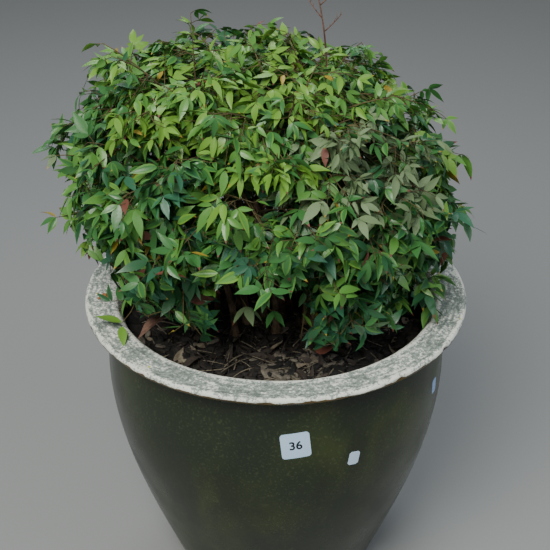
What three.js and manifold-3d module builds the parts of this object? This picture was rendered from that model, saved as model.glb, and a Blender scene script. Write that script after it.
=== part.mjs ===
// A potted dwarf heavenly bamboo: a stoneware pot, its soil, the canes and the masses of leaves.
// Sizes are in millimetres and +Z is up. The origin is the middle of the pot's flat underside.
// The front, where the foliage parts over bare soil, faces -Y.
import * as THREE from 'three';
import { mergeVertices } from 'three/addons/utils/BufferGeometryUtils.js';
import Module from 'manifold-3d';

const solids = await Module();
solids.setup();

// Pot: a thrown stoneware body with a flat, turned-out rim
const POT_HEIGHT = 450;
const RIM_RADIUS = 260;
const MOUTH_RADIUS = 224;
const LIP_ROUND = 7;
const LIP_DEPTH = 16;
const LIP_UNDERCUT = 12;
const LIP_SHOULDER = 9;
const MOUTH_CHAMFER = 8;
const MOUTH_BREAK = 5;
const NECK_RADIUS = 226.5;
const NECK_DROP = 20;
const BELLY_HANDLES = [new THREE.Vector2(208, 171), new THREE.Vector2(254, 283)];
const BASE_RADIUS = 147;
const WALL = 16;
const FLOOR = 18;
const POT_FLATS = 32;
const DRAIN_HOLES = 3;
const DRAIN_RADIUS = 11;
const DRAIN_RING = 75;
const DRAIN_SIDES = 12;
const WALL_STEPS = 8;

// Soil: level round the canes and a little lower at the wall
const SOIL_DROP = 45;
const SOIL_FALL = 8;
const SOIL_LEVEL_RADIUS = 120;
const FIT = 0.3;

// Crown: a rounded mound, squarer than an egg and squarer still at its skirt, higher on the left
// than on the right. The gap at the front is given in degrees.
const SOIL_TOP = POT_HEIGHT - SOIL_DROP;
const CROWN_CENTRE = new THREE.Vector3(-24, -4, 205);
const CROWN_REACH = new THREE.Vector3(262, 240, 212);
const CROWN_DEPTH = 192;
const CROWN_SQUARENESS = 2.4;
const SKIRT_SQUARENESS = 4;
const CROWN_LEAN = 0.09;
const FRONT_GAP = 36;
const GAP_TOP = -12;

// Tiers of foliage, from the soil up: how many masses, how high they look out, where they start, how
// far out their seats lie and how far from the middle their canes stand. The seats of a higher tier
// lie further out, so that its masses hang over those below.
const TIERS = [
  { name: 'low', masses: 7, elevation: -26, turn: FRONT_GAP / 2, span: 360 - FRONT_GAP, seat: 0.7, foot: 80 },
  { name: 'mid', masses: 7, elevation: 12, turn: -26, span: 360, seat: 0.82, foot: 52 },
  { name: 'top', masses: 4, elevation: 52, turn: -20, span: 360, seat: 0.98, foot: 20 },
];
const DOOR_REACH = 0.42;
const HUB_REACH = 0.6;
const MASS_GAP = 0.5;
const SEAT_JITTER = 3;

// Canes: thin, upright, with a flared foot cut flat on the soil
const CANE_FOOT = 5;
const CANE_TIP = 3.3;
const CANE_FLARE = 1.7;
const CANE_FLARE_END = 0.07;
const CANE_STEPS = [0, CANE_FLARE_END / 2, CANE_FLARE_END, 0.38, 0.69, 1];
const CANE_SIDES = 5;
const CANE_ROOM = 10;
const CANE_PIECES = 10;

// Sprays: arching leaf stalks with opposite leaves, spread evenly over the crown
const SPRAYS = 102;
const SPRAY_REACH = 0.86;
const FIRST_SPRAY = 0.15;
const LAST_SPRAY = 0.97;
const SPRAY_WOBBLE = 0.05;
const SPRAY_HIGHEST = 0.98;
const SPRAY_LOWEST = -0.8;
const SPRAY_ARCHES = [0.16, 0.06, -0.04];
const SPRAY_PULLS = [0, 0.1, 0.2];
const STEM_TIP = 2.9;
const STALK_FOOT = 1.8;
const STALK_TIP = 1.5;
const STALK_STEPS = 2;
const LEAF_PLACES = [0.45, 0.85];
const END_LEAF = 1.1;

// Leaves: larger than life, because each stands for a spray of three to five leaflets
const LEAF_LENGTH = 74;
const LEAF_WIDTH = 40;
const LEAF_THICKNESS = 2;
const LEAF_FOLD = 1.2;
const LEAF_ARCH = 2;
const LEAF_WIDEST = 0.42;
const LEAF_ROOT = 0.6;
const LEAF_SPREAD = 48;
const SPREAD_JITTER = 8;
const LEAF_TILT = 20;
const TILT_JITTER = 5;
const LEAF_HANG = 0.7;
const SMALLEST_LEAF = 0.85;
const LARGEST_LEAF = 1.12;
// How far out a leaf may reach: on the mound, and past the end of a spray that stands out of it
const MOUND_LIMIT = 1.04;
const STRAY_LIMIT = 0.25;
// How far leaves keep from the soil and over the rim, and from the wall inside the mouth
const POT_ROOM = 3;
const MOUTH_ROOM = 6;
// Faces that a leaf's join gains when it crosses nothing but its stalk, and the most that it may gain
const CLEAN_JOIN = 24;
const MOST_JOIN = 40;
// Sizes, and turns in degrees, that a leaf tries until it crosses nothing
const LEAF_SIZES = [1, 0.8];
const LEAF_PITCHES = [0, -10, 12];
const LEAF_YAWS = [0, 24, -24, 48, -48, 80, -80, 120, -120];

// Sprays that stand out of the mound: the way they look out, and their reach against its surface
const STRAYS = [
  { azimuth: -91, elevation: 48, reach: 1.0 },
  { azimuth: -93, elevation: 10, reach: 0.99 },
  { azimuth: -80, elevation: -16, reach: 0.96 },
  { azimuth: -57, elevation: -44, reach: 0.94 },
  { azimuth: 60, elevation: 48, reach: 0.97 },
];
// The dried flower stalk, a bare stem with short side branches
const FLOWER_STALK = { azimuth: 109, elevation: 76, reach: 1.2 };
const FLOWER_FORKS = [0.62, 0.74, 0.86];
const FLOWER_FORK_LENGTH = 34;
const FLOWER_TIP = 1.2;
const FLOWER_FORK_TIP = 1.05;
const FLOWER_STEPS = 4;
const FLOWER_FORK_WAY = new THREE.Vector3(0.6, -0.3, 0.75);
const FLOWER_BEND = new THREE.Vector3(8, 0, 10);

const SEED = 4100;
const FRAMES = 100;
const SLOPE_STEP = 4;
const UP = new THREE.Vector3(0, 0, 1);

const glaze = { color: 0x34391f, roughness: 0.25, metalness: 0 };
const earth = { color: 0x2a2119, roughness: 0.95, metalness: 0 };
const bark = { color: 0x6b4a33, roughness: 0.8, metalness: 0 };
const leafGreens = { low: 0x2f5a33, mid: 0x3f7233, top: 0x6c8f35 };

// A repeatable source of numbers from 0 to 1.
class Chance {
  constructor(seed) {
    this.state = seed;
    this.next();
    this.next();
  }

  next() {
    this.state = (this.state * 1664525 + 1013904223) % 4294967296;
    return this.state / 4294967296;
  }

  between(low, high) {
    return low + (high - low) * this.next();
  }
}

function namedMesh(name, geometry, finish) {
  const mesh = new THREE.Mesh(geometry, new THREE.MeshStandardMaterial(finish));
  mesh.name = name;
  return mesh;
}

// Turning a closed outline about Z.
function turned(outline) {
  const geometry = new THREE.LatheGeometry(outline, POT_FLATS);
  geometry.rotateX(Math.PI / 2);
  return welded(geometry);
}

function welded(geometry) {
  geometry.deleteAttribute('normal');
  geometry.deleteAttribute('uv');
  return mergeVertices(geometry);
}

function toSolid(geometry) {
  const mesh = new solids.Mesh({
    numProp: 3,
    vertProperties: new Float32Array(geometry.attributes.position.array),
    triVerts: new Uint32Array(geometry.index.array),
  });
  return new solids.Manifold(mesh);
}

function toGeometry(solid) {
  const mesh = solid.getMesh();
  const geometry = new THREE.BufferGeometry();
  geometry.setAttribute('position', new THREE.BufferAttribute(mesh.vertProperties, 3));
  geometry.setIndex(new THREE.BufferAttribute(mesh.triVerts, 1));
  geometry.computeVertexNormals();
  return geometry;
}

// The largest body of a solid, which leaves out loose scraps and fills sealed hollows.
function mainBody(solid) {
  const bodies = solid.decompose();
  bodies.sort((a, b) => b.volume() - a.volume());
  return bodies[0];
}

const wallCurve = new THREE.CubicBezierCurve(
  new THREE.Vector2(BASE_RADIUS, 0),
  ...BELLY_HANDLES,
  new THREE.Vector2(NECK_RADIUS, POT_HEIGHT - NECK_DROP),
);

// Radius of the pot's outer wall at a height, by halving the curve's range.
function wallRadius(height) {
  let low = 0;
  let high = 1;
  for (let i = 0; i < 30; i += 1) {
    const middle = (low + high) / 2;
    if (wallCurve.getPoint(middle).y < height) {
      low = middle;
    } else {
      high = middle;
    }
  }
  return wallCurve.getPoint(low).x;
}

// Heights at which the inner wall and the soil turn, so that their flats face each other.
const innerHeights = [FLOOR, 100, 190, 290, SOIL_TOP - SOIL_FALL];

function potMesh() {
  const outside = wallCurve.getPoints(WALL_STEPS);
  const lip = [
    new THREE.Vector2(RIM_RADIUS - LIP_UNDERCUT, POT_HEIGHT - LIP_DEPTH),
    new THREE.Vector2(RIM_RADIUS - 1, POT_HEIGHT - LIP_ROUND - 3),
    new THREE.Vector2(RIM_RADIUS, POT_HEIGHT - LIP_ROUND),
    new THREE.Vector2(RIM_RADIUS - 4, POT_HEIGHT - 1),
    new THREE.Vector2(RIM_RADIUS - LIP_SHOULDER, POT_HEIGHT),
    new THREE.Vector2(MOUTH_RADIUS, POT_HEIGHT),
    new THREE.Vector2(MOUTH_RADIUS - MOUTH_CHAMFER, POT_HEIGHT - MOUTH_BREAK),
    new THREE.Vector2(NECK_RADIUS - WALL, POT_HEIGHT - NECK_DROP),
  ];
  const inside = innerHeights.map((z) => new THREE.Vector2(wallRadius(z) - WALL, z)).reverse();
  const outline = [new THREE.Vector2(0, 0), ...outside, ...lip, ...inside, new THREE.Vector2(0, FLOOR)];
  let pot = toSolid(turned(outline));
  for (let i = 0; i < DRAIN_HOLES; i += 1) {
    const hole = new THREE.CylinderGeometry(DRAIN_RADIUS, DRAIN_RADIUS, FLOOR * 3, DRAIN_SIDES);
    hole.rotateX(Math.PI / 2);
    hole.translate(DRAIN_RING, 0, 0);
    hole.rotateZ((i / DRAIN_HOLES) * 2 * Math.PI);
    pot = pot.subtract(toSolid(welded(hole)));
  }
  return namedMesh('pot', toGeometry(pot), glaze);
}

function soilMesh() {
  const side = innerHeights.map((z) => new THREE.Vector2(wallRadius(z) - WALL - FIT, z));
  side[0].y += FIT;
  const outline = [
    new THREE.Vector2(0, FLOOR + FIT),
    ...side,
    new THREE.Vector2(SOIL_LEVEL_RADIUS, SOIL_TOP),
    new THREE.Vector2(0, SOIL_TOP),
  ];
  return namedMesh('soil', turned(outline), earth);
}

// The crown's geometry. Its points are in the plant's frame, whose origin is the soil's middle.
function lookOut(azimuth, elevation) {
  const a = THREE.MathUtils.degToRad(azimuth);
  const e = THREE.MathUtils.degToRad(elevation);
  return new THREE.Vector3(Math.sin(a) * Math.cos(e), -Math.cos(a) * Math.cos(e), Math.sin(e));
}

// The point at a reach in a direction, where reach 1 is the mound's surface.
function crownPoint(direction, reach) {
  const level = Math.hypot(direction.x, direction.y);
  const power = direction.z < 0 ? SKIRT_SQUARENESS : CROWN_SQUARENESS;
  const scale = reach / (level ** power + Math.abs(direction.z) ** power) ** (1 / power);
  const height = direction.z < 0 ? CROWN_DEPTH : CROWN_REACH.z;
  const x = direction.x * scale * CROWN_REACH.x;
  const y = direction.y * scale * CROWN_REACH.y;
  return new THREE.Vector3(x, y, direction.z * scale * height - CROWN_LEAN * x).add(CROWN_CENTRE);
}

// How far out a point lies, where 1 is the mound's surface.
function reachOf(point) {
  const from = point.clone().sub(CROWN_CENTRE);
  const z = from.z + CROWN_LEAN * from.x;
  const level = Math.hypot(from.x / CROWN_REACH.x, from.y / CROWN_REACH.y);
  const rise = Math.abs(z) / (z < 0 ? CROWN_DEPTH : CROWN_REACH.z);
  const power = z < 0 ? SKIRT_SQUARENESS : CROWN_SQUARENESS;
  return (level ** power + rise ** power) ** (1 / power);
}

// The way the mound's surface faces, close to a point.
function outwardAt(point) {
  const here = reachOf(point);
  const rise = new THREE.Vector3(SLOPE_STEP, 0, 0);
  const turn = new THREE.Vector3(0, SLOPE_STEP, 0);
  const lift = new THREE.Vector3(0, 0, SLOPE_STEP);
  const slope = [rise, turn, lift].map((way) => reachOf(point.clone().add(way)) - here);
  return new THREE.Vector3(...slope).normalize();
}

// What is left of a direction when its part along another, of length 1, is taken away.
function alongSurface(direction, outward) {
  return direction.clone().addScaledVector(outward, -direction.dot(outward));
}

// A tapering limb: a cylinder with flat ends, bent along a curve at the given steps.
function limb(curve, steps, sides, radiusAt) {
  const geometry = new THREE.CylinderGeometry(1, 1, 1, sides, steps.length - 1);
  const frames = curve.computeFrenetFrames(FRAMES, false);
  const position = geometry.attributes.position;
  for (let i = 0; i < position.count; i += 1) {
    const along = steps[Math.round((position.getY(i) + 0.5) * (steps.length - 1))];
    const frame = Math.round(along * FRAMES);
    const point = curve.getPointAt(along);
    point.addScaledVector(frames.normals[frame], position.getX(i) * radiusAt(along));
    point.addScaledVector(frames.binormals[frame], -position.getZ(i) * radiusAt(along));
    position.setXYZ(i, point.x, point.y, point.z);
  }
  return welded(geometry);
}

function stalk(curve, footRadius, tipRadius, steps) {
  const places = Array.from({ length: steps + 1 }, (_, i) => i / steps);
  return limb(curve, places, 3, (along) => THREE.MathUtils.lerp(footRadius, tipRadius, along));
}

// One leaf: an octahedron drawn out to a blade, folded at its midrib and arched. Its corners are
// given with it, because they decide whether it stays in its space.
function leaf(base, direction, face, size) {
  const length = LEAF_LENGTH * size;
  const side = new THREE.Vector3().crossVectors(face, direction).normalize();
  const normal = new THREE.Vector3().crossVectors(direction, side);
  const geometry = new THREE.OctahedronGeometry(1, 0);
  const position = geometry.attributes.position;
  for (let i = 0; i < position.count; i += 1) {
    const x = Math.round(position.getX(i));
    const y = Math.round(position.getY(i));
    const z = Math.round(position.getZ(i));
    const along = x === 0 ? LEAF_WIDEST * length : ((x + 1) / 2) * length;
    const lift = (x === 0 ? LEAF_ARCH * size : 0) + z * LEAF_THICKNESS * 0.5 + Math.abs(y) * LEAF_FOLD;
    const point = base.clone().addScaledVector(direction, along - LEAF_ROOT);
    point.addScaledVector(side, y * LEAF_WIDTH * 0.5 * size).addScaledVector(normal, lift);
    position.setXYZ(i, point.x, point.y, point.z);
  }
  return welded(geometry);
}

function cornersOf(geometry) {
  const position = geometry.attributes.position;
  const corner = (_, i) => new THREE.Vector3().fromBufferAttribute(position, i);
  return Array.from({ length: position.count }, corner);
}

// The masses: a seat in the crown for each, the door where its cane ends and the hub of its sprays.
function layOutMasses() {
  const chance = new Chance(SEED);
  const masses = [];
  for (const tier of TIERS) {
    for (let i = 0; i < tier.masses; i += 1) {
      const middle = tier.turn + ((i + 0.5) * tier.span) / tier.masses;
      const azimuth = middle + chance.between(-SEAT_JITTER, SEAT_JITTER);
      const way = lookOut(azimuth, tier.elevation + chance.between(-SEAT_JITTER, SEAT_JITTER));
      masses.push({
        name: `${tier.name}_${i + 1}`,
        tier,
        azimuth,
        way,
        seat: crownPoint(way, tier.seat),
        door: crownPoint(way, DOOR_REACH),
        hub: crownPoint(way, HUB_REACH),
        targets: [],
        seed: SEED + 97 * (masses.length + 1),
      });
    }
  }
  return masses;
}

function nearestMass(masses, point) {
  return masses.reduce((a, b) => (a.seat.distanceTo(point) < b.seat.distanceTo(point) ? a : b));
}

// Spreading the sprays over the mound along a spiral, and giving each to the mass it lies in.
function shareOutSprays(masses) {
  const chance = new Chance(SEED + 1);
  const goldenTurn = 180 * (3 - Math.sqrt(5));
  for (let i = 0; i < SPRAYS; i += 1) {
    const rise = THREE.MathUtils.lerp(SPRAY_HIGHEST, SPRAY_LOWEST, i / (SPRAYS - 1));
    const elevation = THREE.MathUtils.radToDeg(Math.asin(rise));
    const azimuth = THREE.MathUtils.euclideanModulo(i * goldenTurn + 180, 360) - 180;
    const reach = SPRAY_REACH + chance.between(-SPRAY_WOBBLE, SPRAY_WOBBLE);
    const inGap = Math.abs(azimuth) < FRONT_GAP / 2 && elevation < GAP_TOP;
    if (!inGap) {
      addTarget(masses, { azimuth, elevation, reach });
    }
  }
  for (const stray of STRAYS) {
    addTarget(masses, { ...stray, stray: true });
  }
}

function addTarget(masses, target) {
  const point = crownPoint(lookOut(target.azimuth, target.elevation), target.reach);
  nearestMass(masses, point).targets.push({ ...target, point });
}

// The cane of a mass rises upright from its foot and leans out to the door.
function caneCurve(mass) {
  const azimuth = THREE.MathUtils.degToRad(mass.azimuth);
  const foot = new THREE.Vector3(Math.sin(azimuth), -Math.cos(azimuth), 0).multiplyScalar(mass.tier.foot);
  foot.z = FIT;
  const bend = foot.clone().setZ(mass.door.z * 0.5);
  return new THREE.QuadraticBezierCurve3(foot, bend, mass.door);
}

function caneRadius(along) {
  const flare = 1 + (CANE_FLARE - 1) * Math.max(0, 1 - along / CANE_FLARE_END);
  return THREE.MathUtils.lerp(CANE_FOOT, CANE_TIP, along) * flare;
}

function caneMesh(mass) {
  return namedMesh(`cane_${mass.name}`, limb(mass.cane, CANE_STEPS, CANE_SIDES, caneRadius), bark);
}

// How close a point comes to any cane's middle line.
function distanceToCanes(masses, point) {
  let nearest = Infinity;
  for (const mass of masses) {
    for (const piece of mass.canePieces) {
      const close = piece.closestPointToPoint(point, true, new THREE.Vector3());
      nearest = Math.min(nearest, close.distanceTo(point));
    }
  }
  return nearest;
}

// Whether a point is inside the mass's own space: nearer to its seat than to any other, with a margin.
function inOwnSpace(masses, mass, point, margin) {
  const own = mass.seat.distanceToSquared(point);
  return masses.every((other) => {
    if (other === mass) {
      return true;
    }
    const apart = other.seat.distanceTo(mass.seat);
    return (other.seat.distanceToSquared(point) - own) / (2 * apart) > margin;
  });
}

// Whether a point, in the plant's frame, keeps clear of the soil and of the pot's rim and mouth.
function clearOfPot(point) {
  const overRim = point.z > SOIL_DROP + POT_ROOM;
  const inMouth = Math.hypot(point.x, point.y) < NECK_RADIUS - WALL - MOUTH_ROOM;
  return point.z > POT_ROOM && (overRim || inMouth);
}

function leafFits(masses, mass, geometry, furthest) {
  const corners = cornersOf(geometry);
  const middle = corners.reduce((sum, corner) => sum.add(corner), new THREE.Vector3());
  middle.divideScalar(corners.length);
  const halfway = corners.map((corner) => corner.clone().lerp(middle, 0.5));
  const points = [...corners, ...halfway, middle];
  return points.every((point) => reachOf(point) < furthest)
    && points.every((point) => inOwnSpace(masses, mass, point, MASS_GAP))
    && (points.every((point) => point.z > SOIL_DROP + POT_ROOM) || points.every(clearOfPot))
    && points.every((point) => distanceToCanes(masses, point) > CANE_ROOM);
}

// A leaf's attitude after a turn about its face and then a pitch about its own side.
function turnedLeaf(grown, yaw, pitch, size) {
  const direction = grown.direction.clone().applyAxisAngle(grown.face, THREE.MathUtils.degToRad(yaw));
  const side = new THREE.Vector3().crossVectors(grown.face, direction).normalize();
  direction.applyAxisAngle(side, THREE.MathUtils.degToRad(pitch));
  const face = grown.face.clone().applyAxisAngle(side, THREE.MathUtils.degToRad(pitch));
  return leaf(grown.base, direction, face, size);
}

const leafTries = LEAF_SIZES.flatMap((size) => (
  LEAF_PITCHES.flatMap((pitch) => LEAF_YAWS.map((yaw) => ({ size, pitch, yaw })))));

// Fusing a leaf on as it would grow, or else turned or smaller, so that it stays in its space and
// crosses nothing, or as little as it can. Crossings show in how many faces the join gains.
function withLeaf(whole, masses, mass, grown) {
  let best = whole;
  let least = MOST_JOIN + 1;
  for (const { size, pitch, yaw } of leafTries) {
    const blade = turnedLeaf(grown, yaw, pitch, grown.size * size);
    if (leafFits(masses, mass, blade, grown.furthest)) {
      const joined = whole.add(toSolid(blade));
      const gain = joined.numTri() - whole.numTri();
      if (gain <= CLEAN_JOIN) {
        return joined;
      }
      if (gain < least) {
        best = joined;
        least = gain;
      }
    }
  }
  return best;
}

// The stalk of a spray arches over to its target, or runs flatter, or ends nearer to the middle of
// its mass, where that keeps it in its space.
function sprayCurve(masses, mass, start, target) {
  for (const pull of SPRAY_PULLS) {
    for (const arch of SPRAY_ARCHES) {
      const end = target.point.clone().lerp(mass.seat, pull);
      const middle = start.clone().lerp(end, 0.5);
      middle.z += arch * start.distanceTo(end);
      const curve = new THREE.QuadraticBezierCurve3(start, middle, end);
      const margin = STALK_FOOT + MASS_GAP;
      if (curve.getPoints(8).every((point) => inOwnSpace(masses, mass, point, margin))) {
        return curve;
      }
    }
  }
  return null;
}

// The leaves of one spray as they would grow: opposite pairs along its stalk and one at its end.
function sprayLeaves(curve, target, chance) {
  const furthest = target.stray ? target.reach + STRAY_LIMIT : MOUND_LIMIT;
  const leaves = [];
  const places = [...LEAF_PLACES.flatMap((place) => [[place, -1], [place, 1]]), [1, 0]];
  for (const [place, hand] of places) {
    const base = curve.getPointAt(place);
    const outward = outwardAt(base);
    const down = alongSurface(UP.clone().negate(), outward);
    const flow = alongSurface(curve.getTangentAt(place), outward).addScaledVector(down, LEAF_HANG);
    const turn = hand * (LEAF_SPREAD + chance.between(-SPREAD_JITTER, SPREAD_JITTER));
    const tilt = THREE.MathUtils.degToRad(LEAF_TILT + chance.between(-TILT_JITTER, TILT_JITTER));
    const direction = flow.normalize().applyAxisAngle(outward, THREE.MathUtils.degToRad(turn));
    direction.multiplyScalar(Math.cos(tilt));
    direction.addScaledVector(outward, Math.sin(tilt));
    const face = alongSurface(outward, direction).normalize();
    const size = chance.between(SMALLEST_LEAF, LARGEST_LEAF) * (hand === 0 ? END_LEAF : 1);
    leaves.push({ base, direction, face, size, furthest });
  }
  return leaves;
}

function flowerStalk(mass, start) {
  const tip = crownPoint(lookOut(FLOWER_STALK.azimuth, FLOWER_STALK.elevation), FLOWER_STALK.reach);
  const middle = start.clone().lerp(tip, 0.5).add(FLOWER_BEND);
  const curve = new THREE.QuadraticBezierCurve3(start, middle, tip);
  const pieces = [stalk(curve, STALK_FOOT, FLOWER_TIP, FLOWER_STEPS)];
  FLOWER_FORKS.forEach((place, i) => {
    const base = curve.getPointAt(place);
    const hand = i % 2 === 0 ? 1 : -1;
    const way = FLOWER_FORK_WAY.clone().multiply(new THREE.Vector3(hand, hand, 1));
    const end = base.clone().addScaledVector(way, FLOWER_FORK_LENGTH);
    pieces.push(stalk(new THREE.LineCurve3(base, end), STALK_TIP, FLOWER_FORK_TIP, 1));
  });
  return pieces;
}

// One mass of foliage: its stem goes on from the cane, and its sprays branch off that stem.
function massMesh(masses, mass) {
  const chance = new Chance(mass.seed);
  const along = mass.cane.getTangent(1);
  const start = mass.door.clone().addScaledVector(along, FIT);
  const bend = start.clone().addScaledVector(along, start.distanceTo(mass.hub) * 0.5);
  const stem = new THREE.QuadraticBezierCurve3(start, bend, mass.hub);
  const stemRadius = (place) => THREE.MathUtils.lerp(CANE_TIP, STEM_TIP, place);
  const pieces = [limb(stem, [0, 0.5, 1], CANE_SIDES, stemRadius)];
  const leaves = [];
  const leaning = (target) => target.point.clone().sub(mass.hub).normalize().dot(mass.way);
  const targets = [...mass.targets].sort((a, b) => leaning(a) - leaning(b));
  targets.forEach((target, i) => {
    const place = THREE.MathUtils.lerp(FIRST_SPRAY, LAST_SPRAY, (i + 1) / targets.length);
    const curve = sprayCurve(masses, mass, stem.getPointAt(place), target);
    if (curve) {
      pieces.push(stalk(curve, STALK_FOOT, STALK_TIP, STALK_STEPS));
      leaves.push(...sprayLeaves(curve, target, chance));
    }
  });
  if (mass === masses.flowering) {
    pieces.push(...flowerStalk(mass, mass.hub));
  }
  const twigs = pieces.map(toSolid).reduce((whole, piece) => whole.add(piece));
  const fused = leaves.reduce((whole, grown) => withLeaf(whole, masses, mass, grown), twigs);
  return namedMesh(`foliage_${mass.name}`, toGeometry(mainBody(fused)), {
    color: leafGreens[mass.tier.name],
    roughness: 0.5,
    metalness: 0,
  });
}

function plantGroup() {
  const plant = new THREE.Group();
  const masses = layOutMasses();
  shareOutSprays(masses);
  for (const mass of masses) {
    mass.cane = caneCurve(mass);
    const points = mass.cane.getPoints(CANE_PIECES);
    mass.canePieces = points.slice(1).map((point, i) => new THREE.Line3(points[i], point));
  }
  const flowerTip = crownPoint(lookOut(FLOWER_STALK.azimuth, FLOWER_STALK.elevation), 1);
  masses.flowering = nearestMass(masses, flowerTip);
  for (const mass of masses) {
    plant.add(caneMesh(mass), massMesh(masses, mass));
  }
  plant.position.z = SOIL_TOP;
  return plant;
}

const pottedPlant = new THREE.Group();
pottedPlant.add(potMesh(), soilMesh(), plantGroup());

export default pottedPlant;
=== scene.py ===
"""A potted dwarf heavenly bamboo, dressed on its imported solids.

Sizes are in millimetres until a mesh is made, and in metres from there on. The plant's own frame has
its origin at the middle of the soil, and the pot's at the middle of its flat underside. The front,
where the foliage parts over bare mulch, faces -Y.
"""

import logging
import math
from dataclasses import dataclass, field, replace
from enum import Enum
from typing import Any, Callable, Iterable, Sequence

import bpy
import numpy as np
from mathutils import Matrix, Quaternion, Vector, noise

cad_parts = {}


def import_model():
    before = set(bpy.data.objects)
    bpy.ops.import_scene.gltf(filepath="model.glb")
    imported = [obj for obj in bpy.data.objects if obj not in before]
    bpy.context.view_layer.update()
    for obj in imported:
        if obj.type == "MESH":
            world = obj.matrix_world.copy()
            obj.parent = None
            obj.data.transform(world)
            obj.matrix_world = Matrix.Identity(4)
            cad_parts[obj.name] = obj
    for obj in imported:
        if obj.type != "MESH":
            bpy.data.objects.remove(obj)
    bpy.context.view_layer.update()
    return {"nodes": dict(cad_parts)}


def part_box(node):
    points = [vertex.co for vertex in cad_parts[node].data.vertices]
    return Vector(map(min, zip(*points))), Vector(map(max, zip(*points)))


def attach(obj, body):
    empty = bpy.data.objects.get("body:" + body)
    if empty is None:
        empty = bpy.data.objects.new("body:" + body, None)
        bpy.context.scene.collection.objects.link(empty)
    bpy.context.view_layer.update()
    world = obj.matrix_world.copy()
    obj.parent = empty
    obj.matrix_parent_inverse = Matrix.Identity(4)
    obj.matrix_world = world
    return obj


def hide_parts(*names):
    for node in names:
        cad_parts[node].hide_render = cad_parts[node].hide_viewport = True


LOG = logging.getLogger("potted_plant")
MM = 0.001
UP = Vector((0, 0, 1))
DOWN = -UP
SEED = 4100


@dataclass(frozen=True)
class Levels:
    """The heights above the floor that the rest is set out from."""

    rim: float
    soil: float

    @classmethod
    def from_frame(cls) -> "Levels":
        """The tops of the pot and of the soil as their solids have them, to a hundredth."""
        return cls(*(round(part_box(node)[1].z / MM, 2) for node in ("pot", "soil")))


class Chance:
    """A repeatable source of numbers from 0 to 1, the same one that the solids were grown from."""

    FACTOR = 1664525
    STEP = 1013904223
    STATES = 4294967296

    def __init__(self, seed: int) -> None:
        """Starts the sequence.

        Args:
            seed: the number that the sequence starts from.
        """
        self.state = seed
        self.next()
        self.next()

    def next(self) -> float:
        """The next number, from 0 to 1."""
        self.state = (self.state * self.FACTOR + self.STEP) % self.STATES
        return self.state / self.STATES

    def between(self, low: float, high: float) -> float:
        """The next number, from low to high."""
        return low + (high - low) * self.next()

    def pick(self, choices: Sequence[Any]) -> Any:
        """One of the choices."""
        return choices[int(self.next() * len(choices))]

    def way(self) -> Vector:
        """A direction of length 1, any way round."""
        rise = self.between(-1, 1)
        turn = self.between(0, math.tau)
        level = math.sqrt(1 - rise * rise)
        return Vector((level * math.cos(turn), level * math.sin(turn), rise))


def lerp(low: float, high: float, share: float) -> float:
    """The value at a share of the way from low to high."""
    return low + (high - low) * share


def turned(direction: Vector, axis: Vector, degrees: float) -> Vector:
    """A direction after a turn about an axis."""
    return Quaternion(axis, math.radians(degrees)) @ direction


def along_surface(direction: Vector, outward: Vector) -> Vector:
    """What is left of a direction when its part along outward is taken away."""
    return direction - outward * direction.dot(outward)


# Meshes


def band(start: int, wide: int, flipped: bool = False) -> list[tuple[int, ...]]:
    """The faces between a ring of points and the next.

    Args:
        start: the place of the ring's first point.
        wide: how many points a ring has.
        flipped: whether the faces look the other way.

    Returns:
        The faces, as places of points.
    """
    faces = []
    for k in range(wide):
        low, low_next = start + k, start + (k + 1) % wide
        high, high_next = low + wide, low_next + wide
        faces.append((low, high, high_next, low_next) if flipped else (low, low_next, high_next, high))
    return faces


def fan(middle: int, start: int, wide: int, flipped: bool = False) -> list[tuple[int, ...]]:
    """The faces between a point and a ring of points.

    Args:
        middle: the place of the point.
        start: the place of the ring's first point.
        wide: how many points the ring has.
        flipped: whether the faces look the other way.

    Returns:
        The faces, as places of points.
    """
    pairs = [(start + k, start + (k + 1) % wide) for k in range(wide)]
    return [(middle, after, before) if flipped else (middle, before, after) for before, after in pairs]


def tube_faces(rings: int, wide: int) -> list[tuple[int, ...]]:
    """The faces of a closed tube, with one face at each end."""
    sides = [face for ring in range(rings - 1) for face in band(ring * wide, wide)]
    return [*sides, tuple(reversed(range(wide))), tuple(range((rings - 1) * wide, rings * wide))]


@dataclass
class MeshStore:
    """Points and faces in millimetres, gathered until they become one piece."""

    points: list = field(default_factory=list)
    faces: list = field(default_factory=list)

    def add(self, points: Iterable[Sequence[float]], faces: Iterable[Sequence[int]]) -> None:
        """Adds some points, and faces that count from the first of them."""
        start = len(self.points)
        self.points.extend(points)
        self.faces.extend([start + corner for corner in face] for face in faces)

    def add_tube(self, line: Sequence[Vector], radii: Sequence[float], sides: int) -> None:
        """Adds a closed tube along a line.

        Args:
            line: the middle of the tube, point by point.
            radii: the tube's radius at each of them.
            sides: how many sides it has.
        """
        across = line_frames(line)
        points = []
        for point, (side, top), radius in zip(line, across, radii):
            for i in range(sides):
                turn = math.tau * i / sides
                points.append(point + (side * math.cos(turn) + top * math.sin(turn)) * radius)
        self.add(points, tube_faces(len(line), sides))

    def piece(self, name: str, material: bpy.types.Material, lift: float = 0) -> bpy.types.Object:
        """Makes one smooth-shaded object in metres.

        Args:
            name: the object's name.
            material: its material.
            lift: how far the points are raised, in millimetres.

        Returns:
            The object, linked to the scene.
        """
        mesh = bpy.data.meshes.new(name)
        points = np.array([tuple(point) for point in self.points], float)
        points[:, 2] += lift
        mesh.from_pydata((points * MM).tolist(), [], self.faces)
        mesh.polygons.foreach_set("use_smooth", [True] * len(mesh.polygons))
        mesh.materials.append(material)
        mesh.validate()
        mesh.update()
        made = bpy.data.objects.new(name, mesh)
        bpy.context.scene.collection.objects.link(made)
        return made


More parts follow.
